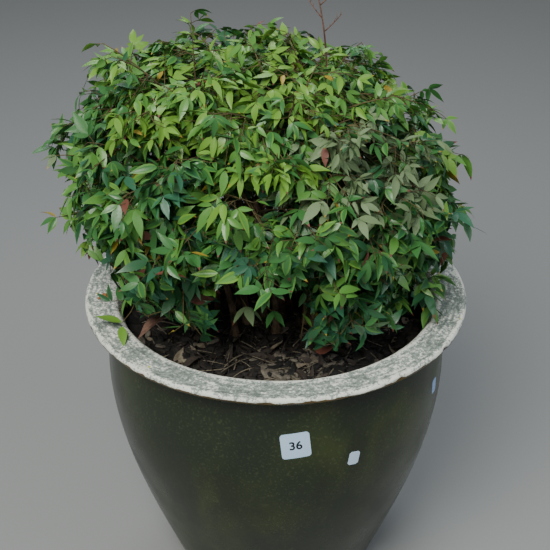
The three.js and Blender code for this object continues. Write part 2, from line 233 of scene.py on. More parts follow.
def line_frames(line: Sequence[Vector]) -> list[tuple[Vector, Vector]]:
    """Two directions across a line at each of its points, which turn as little as they can."""
    frames = []
    side = None
    for i in range(len(line)):
        ahead = line[min(i + 1, len(line) - 1)] - line[max(i - 1, 0)]
        ahead.normalize()
        if side is None:
            side = ahead.orthogonal().normalized()
        side = along_surface(side, ahead).normalized()
        frames.append((side, ahead.cross(side)))
    return frames


class Arch:
    """A quadratic curve from its start to its end that leans towards its bend."""

    STEPS = 24

    def __init__(self, start: Vector, bend: Vector, end: Vector) -> None:
        """Measures the curve.

        Args:
            start: where it starts.
            bend: the point that it leans towards.
            end: where it ends.
        """
        self.start = start
        self.bend = bend
        self.end = end
        places = [self.point(i / self.STEPS) for i in range(self.STEPS + 1)]
        self.lengths = [0.0]
        for before, after in zip(places, places[1:]):
            self.lengths.append(self.lengths[-1] + (after - before).length)

    def point(self, t: float) -> Vector:
        """The point at the curve's own parameter."""
        return self.start * (1 - t) ** 2 + self.bend * (2 * t * (1 - t)) + self.end * t**2

    def parameter(self, share: float) -> float:
        """The curve's own parameter at a share of its length."""
        length = share * self.lengths[-1]
        i = int(np.searchsorted(self.lengths, length, side="right")) - 1
        i = min(max(i, 0), self.STEPS - 1)
        step = max(self.lengths[i + 1] - self.lengths[i], 1e-9)
        return (i + (length - self.lengths[i]) / step) / self.STEPS

    def at(self, share: float) -> Vector:
        """The point at a share of the curve's length."""
        return self.point(self.parameter(share))

    def heading(self, share: float) -> Vector:
        """The way that the curve runs at a share of its length."""
        t = self.parameter(share)
        return ((self.bend - self.start) * (1 - t) + (self.end - self.bend) * t).normalized()

    def line(self, steps: int) -> list[Vector]:
        """Points evenly along the curve."""
        return [self.at(i / steps) for i in range(steps + 1)]


# Finishes


def linear(colour: str) -> tuple[float, float, float, float]:
    """An sRGB hex colour as the linear values that a shader takes."""
    values = []
    for i in (1, 3, 5):
        value = int(colour[i:i + 2], 16) / 255
        values.append(value / 12.92 if value <= 0.04045 else ((value + 0.055) / 1.055) ** 2.4)
    return (*values, 1.0)


def per_metre(size: float) -> float:
    """The scale at which a pattern's features are about a size in millimetres."""
    return 1 / (size * MM)


class Board:
    """The nodes of one material, with its one shader."""

    def __init__(self, name: str) -> None:
        """Makes the material.

        Args:
            name: the material's name.
        """
        self.material = bpy.data.materials.new(name)
        self.material.use_nodes = True
        self.tree = self.material.node_tree
        self.shader = self.tree.nodes["Principled BSDF"]
        self.place = self.add("ShaderNodeTexCoord").outputs["Object"]

    def add(self, kind: str, options: dict | None = None, **inputs: Any) -> bpy.types.Node:
        """Adds a node with its settings and links.

        Args:
            kind: the node's type.
            options: the node's own settings.
            inputs: a value or a linked socket for each input, by name, or by in_ and its number.

        Returns:
            The node.
        """
        node = self.tree.nodes.new(kind)
        for name, value in (options or {}).items():
            setattr(node, name, value)
        for name, value in inputs.items():
            key = int(name[3:]) if name.startswith("in_") else name.replace("_", " ").title()
            self.feed(node.inputs[key], value)
        return node

    def feed(self, socket: bpy.types.NodeSocket, value: Any) -> None:
        """Links a socket to another, or sets its value."""
        if isinstance(value, bpy.types.NodeSocket):
            self.tree.links.new(value, socket)
        else:
            socket.default_value = value

    def dress(self, **inputs: Any) -> None:
        """Sets or links the shader's own inputs, by name."""
        for name, value in inputs.items():
            self.feed(self.shader.inputs[name.replace("_", " ").title().replace("Ior", "IOR")], value)


@dataclass(frozen=True)
class GlazedStoneware:
    """Wheel-thrown stoneware: a run and pooled olive glaze, and a rim left bare to the weather.

    The glaze is a glassy coat, so the wall has clear highlights, broken by fine pin marks and by the
    faint rings that the throwing left. The rim is raw clay, matt and grown with grey crust.
    """

    name: str = "glazed_stoneware"
    glaze_dark: str = "#1f2813"
    glaze_olive: str = "#333e1a"
    glaze_blue: str = "#1e281b"
    glaze_thin: str = "#5d4a26"
    fleck: str = "#555f3b"
    clay: str = "#f2f4e8"
    crust: str = "#98a39c"
    crust_dark: str = "#6d7871"
    lichen: str = "#b9c22c"
    glaze_line: float = 444.5
    thin_edge: float = 5
    mouth: float = 222
    bead: float = 256
    bare_from: float = 300
    run_size: float = 70
    pool_size: float = 190
    smear_size: float = 90
    fleck_size: float = 3.5
    line_wander: float = 16
    ring_gap: float = 4
    crust_size: float = 3.5
    patch_size: float = 45
    lichen_size: float = 18
    throwing_gap: float = 14
    wave_size: float = 9
    grit_size: float = 2.5
    relief_depth: float = 1.2
    glaze_roughness: tuple[float, float] = (0.2, 0.38)
    clay_roughness: float = 0.88

    def material(self) -> bpy.types.Material:
        """Makes the material.

        Returns:
            The material.
        """
        board = Board(self.name)
        add = board.add
        split = add("ShaderNodeSeparateXYZ", in_0=board.place)
        height = split.outputs[2]
        level = add("ShaderNodeVectorMath", {"operation": "MULTIPLY"}, in_0=board.place, in_1=(1, 1, 0))
        radius = add("ShaderNodeVectorMath", {"operation": "LENGTH"}, in_0=level.outputs[0]).outputs["Value"]
        bare = self.bare_share(board, height, radius)
        glaze = self.glaze_colour(board, height)
        clay = self.clay_colour(board, level.outputs[0], radius)
        colour = add("ShaderNodeMix", {"data_type": "RGBA"}, in_0=bare, in_6=glaze, in_7=clay).outputs[2]
        smear = add("ShaderNodeTexNoise", in_0=board.place, Scale=per_metre(self.smear_size), Detail=4.0)
        least, most = self.glaze_roughness
        gloss = add("ShaderNodeMapRange", in_0=smear.outputs[0], in_1=0.35, in_2=0.7, in_3=least,
                    in_4=most).outputs[0]
        roughness = add("ShaderNodeMix", in_0=bare, in_2=gloss, in_3=self.clay_roughness).outputs[0]
        board.dress(base_color=colour, roughness=roughness, normal=self.relief(board, height, bare))
        return board.material

    def bare_share(self, board: Board, height: Any, radius: Any) -> Any:
        """1 where the clay is bare, above an uneven glaze line and inside the mouth, and 0 on glaze."""
        add = board.add
        wander = add("ShaderNodeTexNoise", in_0=board.place, Scale=per_metre(self.line_wander), Detail=3.0)
        line = add("ShaderNodeMapRange", in_0=wander.outputs[0], in_1=0.3, in_2=0.7,
                   in_3=(self.glaze_line - 1.6) * MM, in_4=(self.glaze_line + 1.2) * MM).outputs[0]
        above = add("ShaderNodeMath", {"operation": "SUBTRACT"}, in_0=height, in_1=line).outputs[0]
        rim = add("ShaderNodeMapRange", in_0=above, in_1=0.0, in_2=0.6 * MM).outputs[0]
        inside = add("ShaderNodeMapRange", in_0=radius, in_1=self.mouth * MM, in_2=(self.mouth - 1) * MM)
        deep = add("ShaderNodeMapRange", in_0=height, in_1=self.bare_from * MM,
                   in_2=(self.bare_from + 10) * MM).outputs[0]
        mouth = add("ShaderNodeMath", {"operation": "MULTIPLY"}, in_0=inside.outputs[0], in_1=deep).outputs[0]
        return add("ShaderNodeMath", {"operation": "MAXIMUM"}, in_0=rim, in_1=mouth).outputs[0]

    def glaze_colour(self, board: Board, height: Any) -> Any:
        """The glaze: dark with olive runs, bluer where it is thick, thin and brown at its upper edge."""
        add = board.add
        runs = add("ShaderNodeVectorMath", {"operation": "MULTIPLY"}, in_0=board.place, in_1=(1, 1, 0.6))
        flow = add("ShaderNodeTexNoise", in_0=runs.outputs[0], Scale=per_metre(self.run_size), Detail=5.0,
                   Distortion=0.4).outputs[0]
        olive = add("ShaderNodeMapRange", in_0=flow, in_1=0.42, in_2=0.66).outputs[0]
        base = add("ShaderNodeMix", {"data_type": "RGBA"}, in_0=olive, in_6=linear(self.glaze_dark),
                   in_7=linear(self.glaze_olive)).outputs[2]
        pool = add("ShaderNodeTexNoise", in_0=board.place, Scale=per_metre(self.pool_size), Detail=2.0)
        thick = add("ShaderNodeMapRange", in_0=pool.outputs[0], in_1=0.47, in_2=0.62, in_4=0.8).outputs[0]
        cooled = add("ShaderNodeMix", {"data_type": "RGBA"}, in_0=thick, in_6=base,
                     in_7=linear(self.glaze_blue)).outputs[2]
        grit = add("ShaderNodeTexNoise", in_0=board.place, Scale=per_metre(self.fleck_size), Detail=2.0)
        pins = add("ShaderNodeMapRange", in_0=grit.outputs[0], in_1=0.55, in_2=0.7, in_4=0.4).outputs[0]
        spread = add("ShaderNodeMapRange", in_0=flow, in_1=0.35, in_2=0.62, in_3=0.25).outputs[0]
        sparse = add("ShaderNodeMath", {"operation": "MULTIPLY"}, in_0=pins, in_1=spread).outputs[0]
        flecked = add("ShaderNodeMix", {"data_type": "RGBA"}, in_0=sparse, in_6=cooled,
                      in_7=linear(self.fleck)).outputs[2]
        top = self.glaze_line - 1
        edge = add("ShaderNodeMapRange", in_0=height, in_1=(top - self.thin_edge) * MM,
                   in_2=top * MM).outputs[0]
        return add("ShaderNodeMix", {"data_type": "RGBA"}, in_0=edge, in_6=flecked,
                   in_7=linear(self.glaze_thin)).outputs[2]

    def clay_colour(self, board: Board, level: Any, radius: Any) -> Any:
        """The bare rim: cream clay under grey crust in rings and patches, cleaner on its outer bead."""
        add = board.add
        round_way = add("ShaderNodeVectorMath", {"operation": "NORMALIZE"}, in_0=level).outputs[0]
        far = add("ShaderNodeVectorMath", {"operation": "SCALE"}, in_0=round_way, in_3=0.06).outputs[0]
        ring = add("ShaderNodeCombineXYZ", in_2=radius).outputs[0]
        wheel = add("ShaderNodeVectorMath", {"operation": "ADD"}, in_0=far, in_1=ring).outputs[0]
        rings = add("ShaderNodeTexNoise", in_0=wheel, Scale=per_metre(self.ring_gap), Detail=5.0,
                    Roughness=0.65).outputs[0]
        grain = add("ShaderNodeTexNoise", in_0=board.place, Scale=per_metre(self.crust_size), Detail=6.0,
                    Roughness=0.7).outputs[0]
        patch = add("ShaderNodeTexNoise", in_0=board.place, Scale=per_metre(self.patch_size), Detail=3.0)
        patchy = add("ShaderNodeMath", {"operation": "MULTIPLY_ADD"}, in_0=patch.outputs[0], in_1=0.5,
                     in_2=grain).outputs[0]
        ringed = add("ShaderNodeMath", {"operation": "MULTIPLY_ADD"}, in_0=rings, in_1=0.7,
                     in_2=patchy).outputs[0]
        outer = add("ShaderNodeMapRange", in_0=radius, in_1=(self.bead - 3) * MM, in_2=(self.bead + 3) * MM,
                    in_3=0.03, in_4=0.17).outputs[0]
        inner = add("ShaderNodeMapRange", in_0=radius, in_1=(self.mouth + 6) * MM, in_2=self.mouth * MM,
                    in_4=0.14).outputs[0]
        clean = add("ShaderNodeMath", {"operation": "ADD"}, in_0=outer, in_1=inner).outputs[0]
        growth = add("ShaderNodeMath", {"operation": "SUBTRACT"}, in_0=ringed, in_1=clean).outputs[0]
        crusted = add("ShaderNodeMapRange", in_0=growth, in_1=0.96, in_2=1.04).outputs[0]
        grey = add("ShaderNodeMix", {"data_type": "RGBA"}, in_0=crusted, in_6=linear(self.clay),
                   in_7=linear(self.crust)).outputs[2]
        heavy = add("ShaderNodeMapRange", in_0=growth, in_1=1.1, in_2=1.2).outputs[0]
        dark = add("ShaderNodeMix", {"data_type": "RGBA"}, in_0=heavy, in_6=grey,
                   in_7=linear(self.crust_dark)).outputs[2]
        spots = add("ShaderNodeTexNoise", in_0=board.place, Scale=per_metre(self.lichen_size), Detail=2.0)
        gold = add("ShaderNodeMapRange", in_0=spots.outputs[0], in_1=0.74, in_2=0.77).outputs[0]
        return add("ShaderNodeMix", {"data_type": "RGBA"}, in_0=gold, in_6=dark,
                   in_7=linear(self.lichen)).outputs[2]

    def relief(self, board: Board, height: Any, bare: Any) -> Any:
        """Throwing rings and pin marks under the glaze, and a gritty crust on the bare clay."""
        add = board.add
        stack = add("ShaderNodeCombineXYZ", in_2=height).outputs[0]
        rings = add("ShaderNodeTexNoise", in_0=stack, Scale=per_metre(self.throwing_gap), Detail=2.0)
        wave = add("ShaderNodeTexNoise", in_0=board.place, Scale=per_metre(self.wave_size), Detail=3.0)
        skin = add("ShaderNodeMath", {"operation": "MULTIPLY_ADD"}, in_0=wave.outputs[0], in_1=0.4,
                   in_2=rings.outputs[0]).outputs[0]
        smooth = add("ShaderNodeMath", {"operation": "MULTIPLY"}, in_0=skin, in_1=0.12).outputs[0]
        grit = add("ShaderNodeTexNoise", in_0=board.place, Scale=per_metre(self.grit_size), Detail=6.0,
                   Roughness=0.75).outputs[0]
        mixed = add("ShaderNodeMix", in_0=bare, in_2=smooth, in_3=grit).outputs[0]
        return add("ShaderNodeBump", Strength=0.5, Distance=self.relief_depth * MM, Height=mixed).outputs[0]


@dataclass(frozen=True)
class Weathered:
    """A matt natural surface, cloudy at one size and grained at a finer one.

    Bark, mulch and dry litter are fibre that rain and soil have dulled, so they have no gloss and
    their colour wanders between a dark and a light tone.
    """

    name: str
    dark: str
    light: str
    cloud: float
    grain: float
    bump: float
    stretch: tuple[float, float, float] = (1, 1, 1)
    roughness: float = 0.9
    relief_depth: float = 0.8

    def material(self) -> bpy.types.Material:
        """Makes the material.

        Returns:
            The material.
        """
        board = Board(self.name)
        add = board.add
        place = add("ShaderNodeVectorMath", {"operation": "MULTIPLY"}, in_0=board.place,
                    in_1=self.stretch).outputs[0]
        cloud = add("ShaderNodeTexNoise", in_0=board.place, Scale=per_metre(self.cloud),
                    Detail=3.0).outputs[0]
        grain = add("ShaderNodeTexNoise", in_0=place, Scale=per_metre(self.grain), Detail=5.0,
                    Roughness=0.65).outputs[0]
        both = add("ShaderNodeMath", {"operation": "ADD"}, in_0=cloud, in_1=grain).outputs[0]
        share = add("ShaderNodeMapRange", in_0=both, in_1=0.8, in_2=1.25).outputs[0]
        colour = add("ShaderNodeMix", {"data_type": "RGBA"}, in_0=share, in_6=linear(self.dark),
                     in_7=linear(self.light)).outputs[2]
        bump = add("ShaderNodeBump", Strength=self.bump, Distance=self.relief_depth * MM,
                   Height=grain).outputs[0]
        board.dress(base_color=colour, roughness=self.roughness, normal=bump)
        return board.material


@dataclass(frozen=True)
class LeafSkin:
    """The waxy skin of a young or grown leaflet, or the dull one of an old leaflet.

    Wax gives the eye a broad, soft sheen that breaks at the faint net of veins. Each tint is one
    plain colour, because the leaflets get their variety from the tints that a spray is dealt.
    """

    name: str
    colour: str
    roughness: float
    vein: float = 3.0
    relief_depth: float = 0.4

    def material(self) -> bpy.types.Material:
        """Makes the material.

        Returns:
            The material.
        """
        board = Board(self.name)
        net = board.add("ShaderNodeTexNoise", in_0=board.place, Scale=per_metre(self.vein), Detail=3.0)
        sheen = board.add("ShaderNodeMapRange", in_0=net.outputs[0], in_1=0.3, in_2=0.7,
                          in_3=self.roughness - 0.07, in_4=self.roughness + 0.1).outputs[0]
        bump = board.add("ShaderNodeBump", Strength=0.25, Distance=self.relief_depth * MM,
                         Height=net.outputs[0])
        board.dress(base_color=linear(self.colour), roughness=sheen, normal=bump.outputs[0])
        return board.material


@dataclass(frozen=True)
class PlainSkin:
    """Printed paper, print ink or a matt painted floor: an even colour with a faint tooth."""

    name: str
    colour: str
    roughness: float
    tooth: float
    relief_depth: float = 0.2

    def material(self) -> bpy.types.Material:
        """Makes the material.

        Returns:
            The material.
        """
        board = Board(self.name)
        tooth = board.add("ShaderNodeTexNoise", in_0=board.place, Scale=per_metre(self.tooth), Detail=3.0)
        bump = board.add("ShaderNodeBump", Strength=0.12, Distance=self.relief_depth * MM,
                         Height=tooth.outputs[0])
        board.dress(base_color=linear(self.colour), roughness=self.roughness, normal=bump.outputs[0])
        return board.material


class Tint(Enum):
    """The colours that leaflets are dealt, each with its piece's name and its sRGB value."""

    NEW = ("new", "#6c9939")
    FRESH = ("fresh", "#578a3c")
    MID = ("mid", "#3d723a")
    DEEP = ("deep", "#2c5c38")
    BLUE = ("blue", "#35684c")
    GREY = ("grey", "#697f58")
    GOLD = ("gold", "#a08c34")
    RUST = ("rust", "#6e4032")


TURNED = (Tint.RUST, Tint.GOLD)
DULL = (Tint.GREY, Tint.RUST)
# The tint of a leaflet's margins, where they are lighter than its middle
LIGHTER = {
    Tint.FRESH: Tint.NEW, Tint.MID: Tint.FRESH, Tint.DEEP: Tint.MID, Tint.BLUE: Tint.MID,
}
# The tints that a pinna has instead of its spray's own, as often as they are named
NEARBY = {
    Tint.NEW: (Tint.FRESH, Tint.FRESH, Tint.MID),
    Tint.FRESH: (Tint.NEW, Tint.MID, Tint.MID, Tint.DEEP),
    Tint.MID: (Tint.FRESH, Tint.FRESH, Tint.DEEP, Tint.BLUE),
    Tint.DEEP: (Tint.MID, Tint.BLUE, Tint.FRESH),
    Tint.BLUE: (Tint.DEEP, Tint.MID, Tint.FRESH),
    Tint.GREY: (Tint.GREY, Tint.MID, Tint.DEEP, Tint.MID),
}
# The tints that a spray is dealt from above each elevation, as often as they are named
TINTS_BY_HEIGHT = (
    (50, (Tint.NEW,) * 7 + (Tint.FRESH,) * 3),
    (20, (Tint.FRESH, Tint.MID, Tint.FRESH, Tint.NEW, Tint.FRESH, Tint.MID)),
    (-12, (Tint.MID, Tint.MID, Tint.FRESH, Tint.DEEP)),
    (-180, (Tint.DEEP, Tint.BLUE, Tint.MID)),
)


# Crown


@dataclass(frozen=True)
class Crown:
    """The mound that the foliage fills, in the plant's frame."""

    centre: tuple[float, float, float] = (-24, -4, 205)
    reach: tuple[float, float, float] = (262, 240, 212)
    depth: float = 192
    squareness: float = 2.4
    skirt_squareness: float = 4
    lean: float = 0.09
    probe: float = 4

    @staticmethod
    def look_out(azimuth: float, elevation: float) -> Vector:
        """The direction at an azimuth, where 0 is the front and + is right, and an elevation."""
        a = math.radians(azimuth)
        e = math.radians(elevation)
        return Vector((math.sin(a) * math.cos(e), -math.cos(a) * math.cos(e), math.sin(e)))

    def point_at(self, way: Vector, reach: float) -> Vector:
        """The point at a reach in a direction, where reach 1 is the mound's surface."""
        level = math.hypot(way.x, way.y)
        power = self.skirt_squareness if way.z < 0 else self.squareness
        scale = reach / (level**power + abs(way.z) ** power) ** (1 / power)
        height = self.depth if way.z < 0 else self.reach[2]
        x = way.x * scale * self.reach[0]
        y = way.y * scale * self.reach[1]
        return Vector((x, y, way.z * scale * height - self.lean * x)) + Vector(self.centre)

    def reach_of(self, point: Vector) -> float:
        """How far out a point lies, where 1 is the mound's surface."""
        x, y, z = point - Vector(self.centre)
        z += self.lean * x
        level = math.hypot(x / self.reach[0], y / self.reach[1])
        rise = abs(z) / (self.depth if z < 0 else self.reach[2])
        power = self.skirt_squareness if z < 0 else self.squareness
        return (level**power + rise**power) ** (1 / power)

    def outward_at(self, point: Vector) -> Vector:
        """The way that the mound's surface faces close to a point."""
        here = self.reach_of(point)
        step = self.probe
        ways = (Vector((step, 0, 0)), Vector((0, step, 0)), Vector((0, 0, step)))
        return Vector([self.reach_of(point + way) - here for way in ways]).normalized()


@dataclass(frozen=True)
class Tier:
    """One tier of masses: how many, how they look out, where they start and how far out they sit."""

    name: str
    masses: int
    elevation: float
    turn: float
    span: float
    seat: float
    foot: float


@dataclass(frozen=True)
class SprayTip:
    """Where one spray of leaves ends."""

    point: Vector
    azimuth: float
    elevation: float
    reach: float
    stray: bool


@dataclass
class Mass:
    """One mass of foliage, with its seat in the crown, the end of its cane and its sprays' hub."""

    name: str
    tier: Tier
    azimuth: float
    way: Vector
    seat: Vector
    door: Vector
    hub: Vector
    seed: int
    tips: list[SprayTip] = field(default_factory=list)


@dataclass
class Planting:
    """How the masses, their canes and their sprays lie, by the rule that the solids were grown by."""

    levels: Levels
    crown: Crown = field(default_factory=Crown)
    front_gap: float = 36
    gap_top: float = -12
    jitter: float = 3
    door_reach: float = 0.42
    hub_reach: float = 0.6
    sprays: int = 102
    spray_reach: float = 0.86
    spray_wobble: float = 0.05
    top_rise: float = 0.98
    low_rise: float = -0.8
    stalk_room: float = 2.3
    stalk_starts: tuple[float, float] = (0.15, 0.97)
    stalk_pulls: tuple[float, ...] = (0, 0.1, 0.2)
    stalk_rises: tuple[float, ...] = (0.16, 0.06, -0.04)
    strays: tuple[tuple[float, float, float], ...] = (
        (-91, 48, 1.0), (-93, 10, 0.99), (-80, -16, 0.96), (-57, -44, 0.94), (60, 48, 0.97))
    masses: list[Mass] = field(default_factory=list)

    def __post_init__(self) -> None:
        """Lays out the masses and shares out the sprays."""
        half = self.front_gap / 2
        tiers = (
            Tier("low", masses=7, elevation=-26, turn=half, span=360 - self.front_gap, seat=0.7, foot=80),
            Tier("mid", masses=7, elevation=12, turn=-26, span=360, seat=0.82, foot=52),
            Tier("top", masses=4, elevation=52, turn=-20, span=360, seat=0.98, foot=20),
        )
        chance = Chance(SEED)
        for tier in tiers:
            for i in range(tier.masses):
                middle = tier.turn + (i + 0.5) * tier.span / tier.masses
                azimuth = middle + chance.between(-self.jitter, self.jitter)
                elevation = tier.elevation + chance.between(-self.jitter, self.jitter)
                way = self.crown.look_out(azimuth, elevation)
                self.masses.append(Mass(
                    name=f"{tier.name}_{i + 1}",
                    tier=tier,
                    azimuth=azimuth,
                    way=way,
                    seat=self.crown.point_at(way, tier.seat),
                    door=self.crown.point_at(way, self.door_reach),
                    hub=self.crown.point_at(way, self.hub_reach),
                    seed=SEED + 97 * (len(self.masses) + 1),
                ))
        self.share_out_sprays()

    def share_out_sprays(self) -> None:
        """Spreads the sprays over the mound along a spiral, and adds those that stand out of it."""
        chance = Chance(SEED + 1)
        golden_turn = 180 * (3 - math.sqrt(5))
        for i in range(self.sprays):
            rise = lerp(self.top_rise, self.low_rise, i / (self.sprays - 1))
            elevation = math.degrees(math.asin(rise))
            azimuth = (i * golden_turn + 180) % 360 - 180
            reach = self.spray_reach + chance.between(-self.spray_wobble, self.spray_wobble)
            if abs(azimuth) < self.front_gap / 2 and elevation < self.gap_top:
                continue
            self.add_tip(azimuth, elevation, reach, stray=False)
        for azimuth, elevation, reach in self.strays:
            self.add_tip(azimuth, elevation, reach, stray=True)

    def add_tip(self, azimuth: float, elevation: float, reach: float, stray: bool) -> None:
        """Gives the tip of a spray to the mass that it lies in."""
        point = self.crown.point_at(self.crown.look_out(azimuth, elevation), reach)
        self.nearest(point).tips.append(SprayTip(point, azimuth, elevation, reach, stray))

    def nearest(self, point: Vector) -> Mass:
        """The mass whose seat is nearest to a point."""
        return min(self.masses, key=lambda mass: (mass.seat - point).length)

    def cane(self, mass: Mass) -> Arch:
        """The cane of a mass, which rises upright from its foot and leans out to the door."""
        foot = self.crown.look_out(mass.azimuth, 0) * mass.tier.foot
        bend = Vector((foot.x, foot.y, mass.door.z * 0.5))
        return Arch(foot, bend, mass.door)

    def stem(self, mass: Mass) -> Arch:
        """The stem of a mass, which goes on from its cane to its hub."""
        along = self.cane(mass).heading(1)
        bend = mass.door + along * ((mass.hub - mass.door).length * 0.5)
        return Arch(mass.door, bend, mass.hub)

    def in_own_space(self, mass: Mass, point: Vector, margin: float) -> bool:
        """Whether a point is nearer to a mass's seat than to any other, by a margin."""
        own = (mass.seat - point).length_squared
        for other in self.masses:
            if other is mass:
                continue
            apart = (other.seat - mass.seat).length
            if ((other.seat - point).length_squared - own) / (2 * apart) <= margin:
                return False
        return True

    def stalks(self, mass: Mass) -> list[tuple[Arch, SprayTip]]:
        """The stalk of each of a mass's sprays, with its tip, from the lowest to the highest."""
        stem = self.stem(mass)
        tips = sorted(mass.tips, key=lambda tip: (tip.point - mass.hub).normalized().dot(mass.way))
        grown = []
        for i, tip in enumerate(tips):
            start = stem.at(lerp(*self.stalk_starts, (i + 1) / len(tips)))
            arch = self.stalk(mass, start, tip)
            if arch:
                grown.append((arch, tip))
        return grown

    def stalk(self, mass: Mass, start: Vector, tip: SprayTip) -> Arch | None:
        """A stalk that arches to its tip, or runs flatter or shorter to stay in its mass's space."""
        for pull in self.stalk_pulls:
            for rise in self.stalk_rises:
                end = tip.point.lerp(mass.seat, pull)
                middle = start.lerp(end, 0.5) + UP * (rise * (end - start).length)
                arch = Arch(start, middle, end)
                if all(self.in_own_space(mass, arch.point(i / 8), self.stalk_room) for i in range(9)):
                    return arch
        return None


# Leaflets


@dataclass
class Leaflet:
    """One leaflet: where it starts, how it points and faces, and how it is shaped."""

    base: Vector
    direction: Vector
    face: Vector
    length: float
    width: float
    fold: float
    curl: float
    wave: float = 0.0


class LeafPress:
    """Presses leaflets into meshes: a pointed oval outline, folded at the midrib and curled down.

    ALONG and ACROSS are the shares of its length and of its half width at which a leaflet has
    points. RISE and FALL shape its outline, and SAG rounds its halves over.
    """

    ALONG = (0.0, 0.08, 0.23, 0.42, 0.63, 0.84, 1.0)
    ACROSS = (-1.0, -0.55, 0.0, 0.55, 1.0)
    RISE = 0.85
    FALL = 1.4
    SAG = 0.12
    TIP_FROM = 5
    FLAT = 1e-4

    @classmethod
    def half_width(cls, along: float) -> float:
        """The share of its half width that the outline has at a share of its length."""
        peak = cls.RISE / (cls.RISE + cls.FALL)
        top = peak**cls.RISE * (1 - peak) ** cls.FALL
        return along**cls.RISE * (1 - along) ** cls.FALL / top

    @classmethod
    def points(cls, leaflet: Leaflet) -> list[Vector]:
        """The points of one leaflet, row by row, from its base to its tip."""
        side = leaflet.face.cross(leaflet.direction).normalized()
        bend = math.radians(leaflet.curl)
        fold = math.radians(leaflet.fold)
        rows = []
        for along in cls.ALONG:
            turn = bend * along
            ahead = math.sin(turn) / bend if abs(bend) > cls.FLAT else along
            sunk = (1 - math.cos(turn)) / bend if abs(bend) > cls.FLAT else 0.0
            middle = leaflet.base + (leaflet.direction * ahead - leaflet.face * sunk) * leaflet.length
            normal = leaflet.face * math.cos(turn) + leaflet.direction * math.sin(turn)
            half = cls.half_width(along) * leaflet.width * 0.5
            across = cls.ACROSS if half > 0 else (0.0,)
            for share in across:
                out = abs(share) * half
                ripple = leaflet.wave * half * abs(share) * math.sin(9 * along + 3 * share)
                lift = out * math.sin(fold) - cls.SAG * out * abs(share) + ripple
                rows.append(middle + side * (share * half * math.cos(fold)) + normal * lift)
        return rows

    @classmethod
    def cut(cls, points: Sequence[Vector], first_row: int, last_row: int) -> tuple[Sequence[Vector], list]:
        """The part of a leaflet between two of its rows.

        Args:
            points: the leaflet's points.
            first_row: the row that the part starts at.
            last_row: the row that it ends at.

        Returns:
            Its points, and its faces as places among them.
        """
        wide = len(cls.ACROSS)
        last = len(cls.ALONG) - 1
        tip = 1 + (last - 1) * wide
        faces = []
        for row in range(first_row, last_row):
            for i in range(wide - 1):
                low = 1 + (row - 1) * wide + i
                if row == 0:
                    faces.append((0, 1 + i, 2 + i))
                elif row == last - 1:
                    faces.append((low, tip, low + 1))
                else:
                    faces.append((low, low + wide, low + wide + 1, low + 1))
        start = 0 if first_row == 0 else 1 + (first_row - 1) * wide
        end = tip + 1 if last_row == last else 1 + last_row * wide
        return points[start:end], [tuple(corner - start for corner in face) for face in faces]

    @classmethod
    def whole(cls, points: Sequence[Vector]) -> tuple[Sequence[Vector], list]:
        """All of a leaflet: its points and its faces."""
        return cls.cut(points, 0, len(cls.ALONG) - 1)


@dataclass(frozen=True)
class Growth:
    """What the twigs and leaflets of one spray share."""

    tint: Tint
    furthest: float
    chance: Chance


@dataclass(frozen=True)
class Sprig:
    """A sprig or leaflet at a place of its own: where it starts, how it runs, its length and its tint."""

    base: tuple[float, float, float]
    way: tuple[float, float, float]
    length: float
    tint: Tint


# Trios that catch the eye, in the gap, at the right rim and at the left edge, and two inside the crown
TRIOS = (
    Sprig((-48, -122, 108), (12, -36, 2), 28, Tint.GREY),
    Sprig((-30, -130, 100), (26, -26, 2), 24, Tint.MID),
    Sprig((176, -60, 78), (24, -26, -12), 31, Tint.FRESH),
    Sprig((-232, -20, 246), (-46, 0, 3), 24, Tint.GREY),
    Sprig((-222, -20, 120), (-24, -2, -7), 14, Tint.RUST),
    Sprig((-216, -30, 136), (-30, -4, -4), 25, Tint.NEW),
    Sprig((-29, -20, 238), (-2, -24, -12), 36, Tint.DEEP),
    Sprig((-45, -8, 234), (-4, -24, -12), 34, Tint.MID),
)
# Two leaflets over the left rim, and the stalk that they stand on
PAIR = (
    Sprig((-198, -111, 56), (-37, 10, 9), 38, Tint.NEW),
    Sprig((-197, -120, 56), (6, -31, -8), 33, Tint.NEW),
)
PAIR_STALK = ((-172, -88, 92), (-186, -104, 68), (-198, -114, 56))


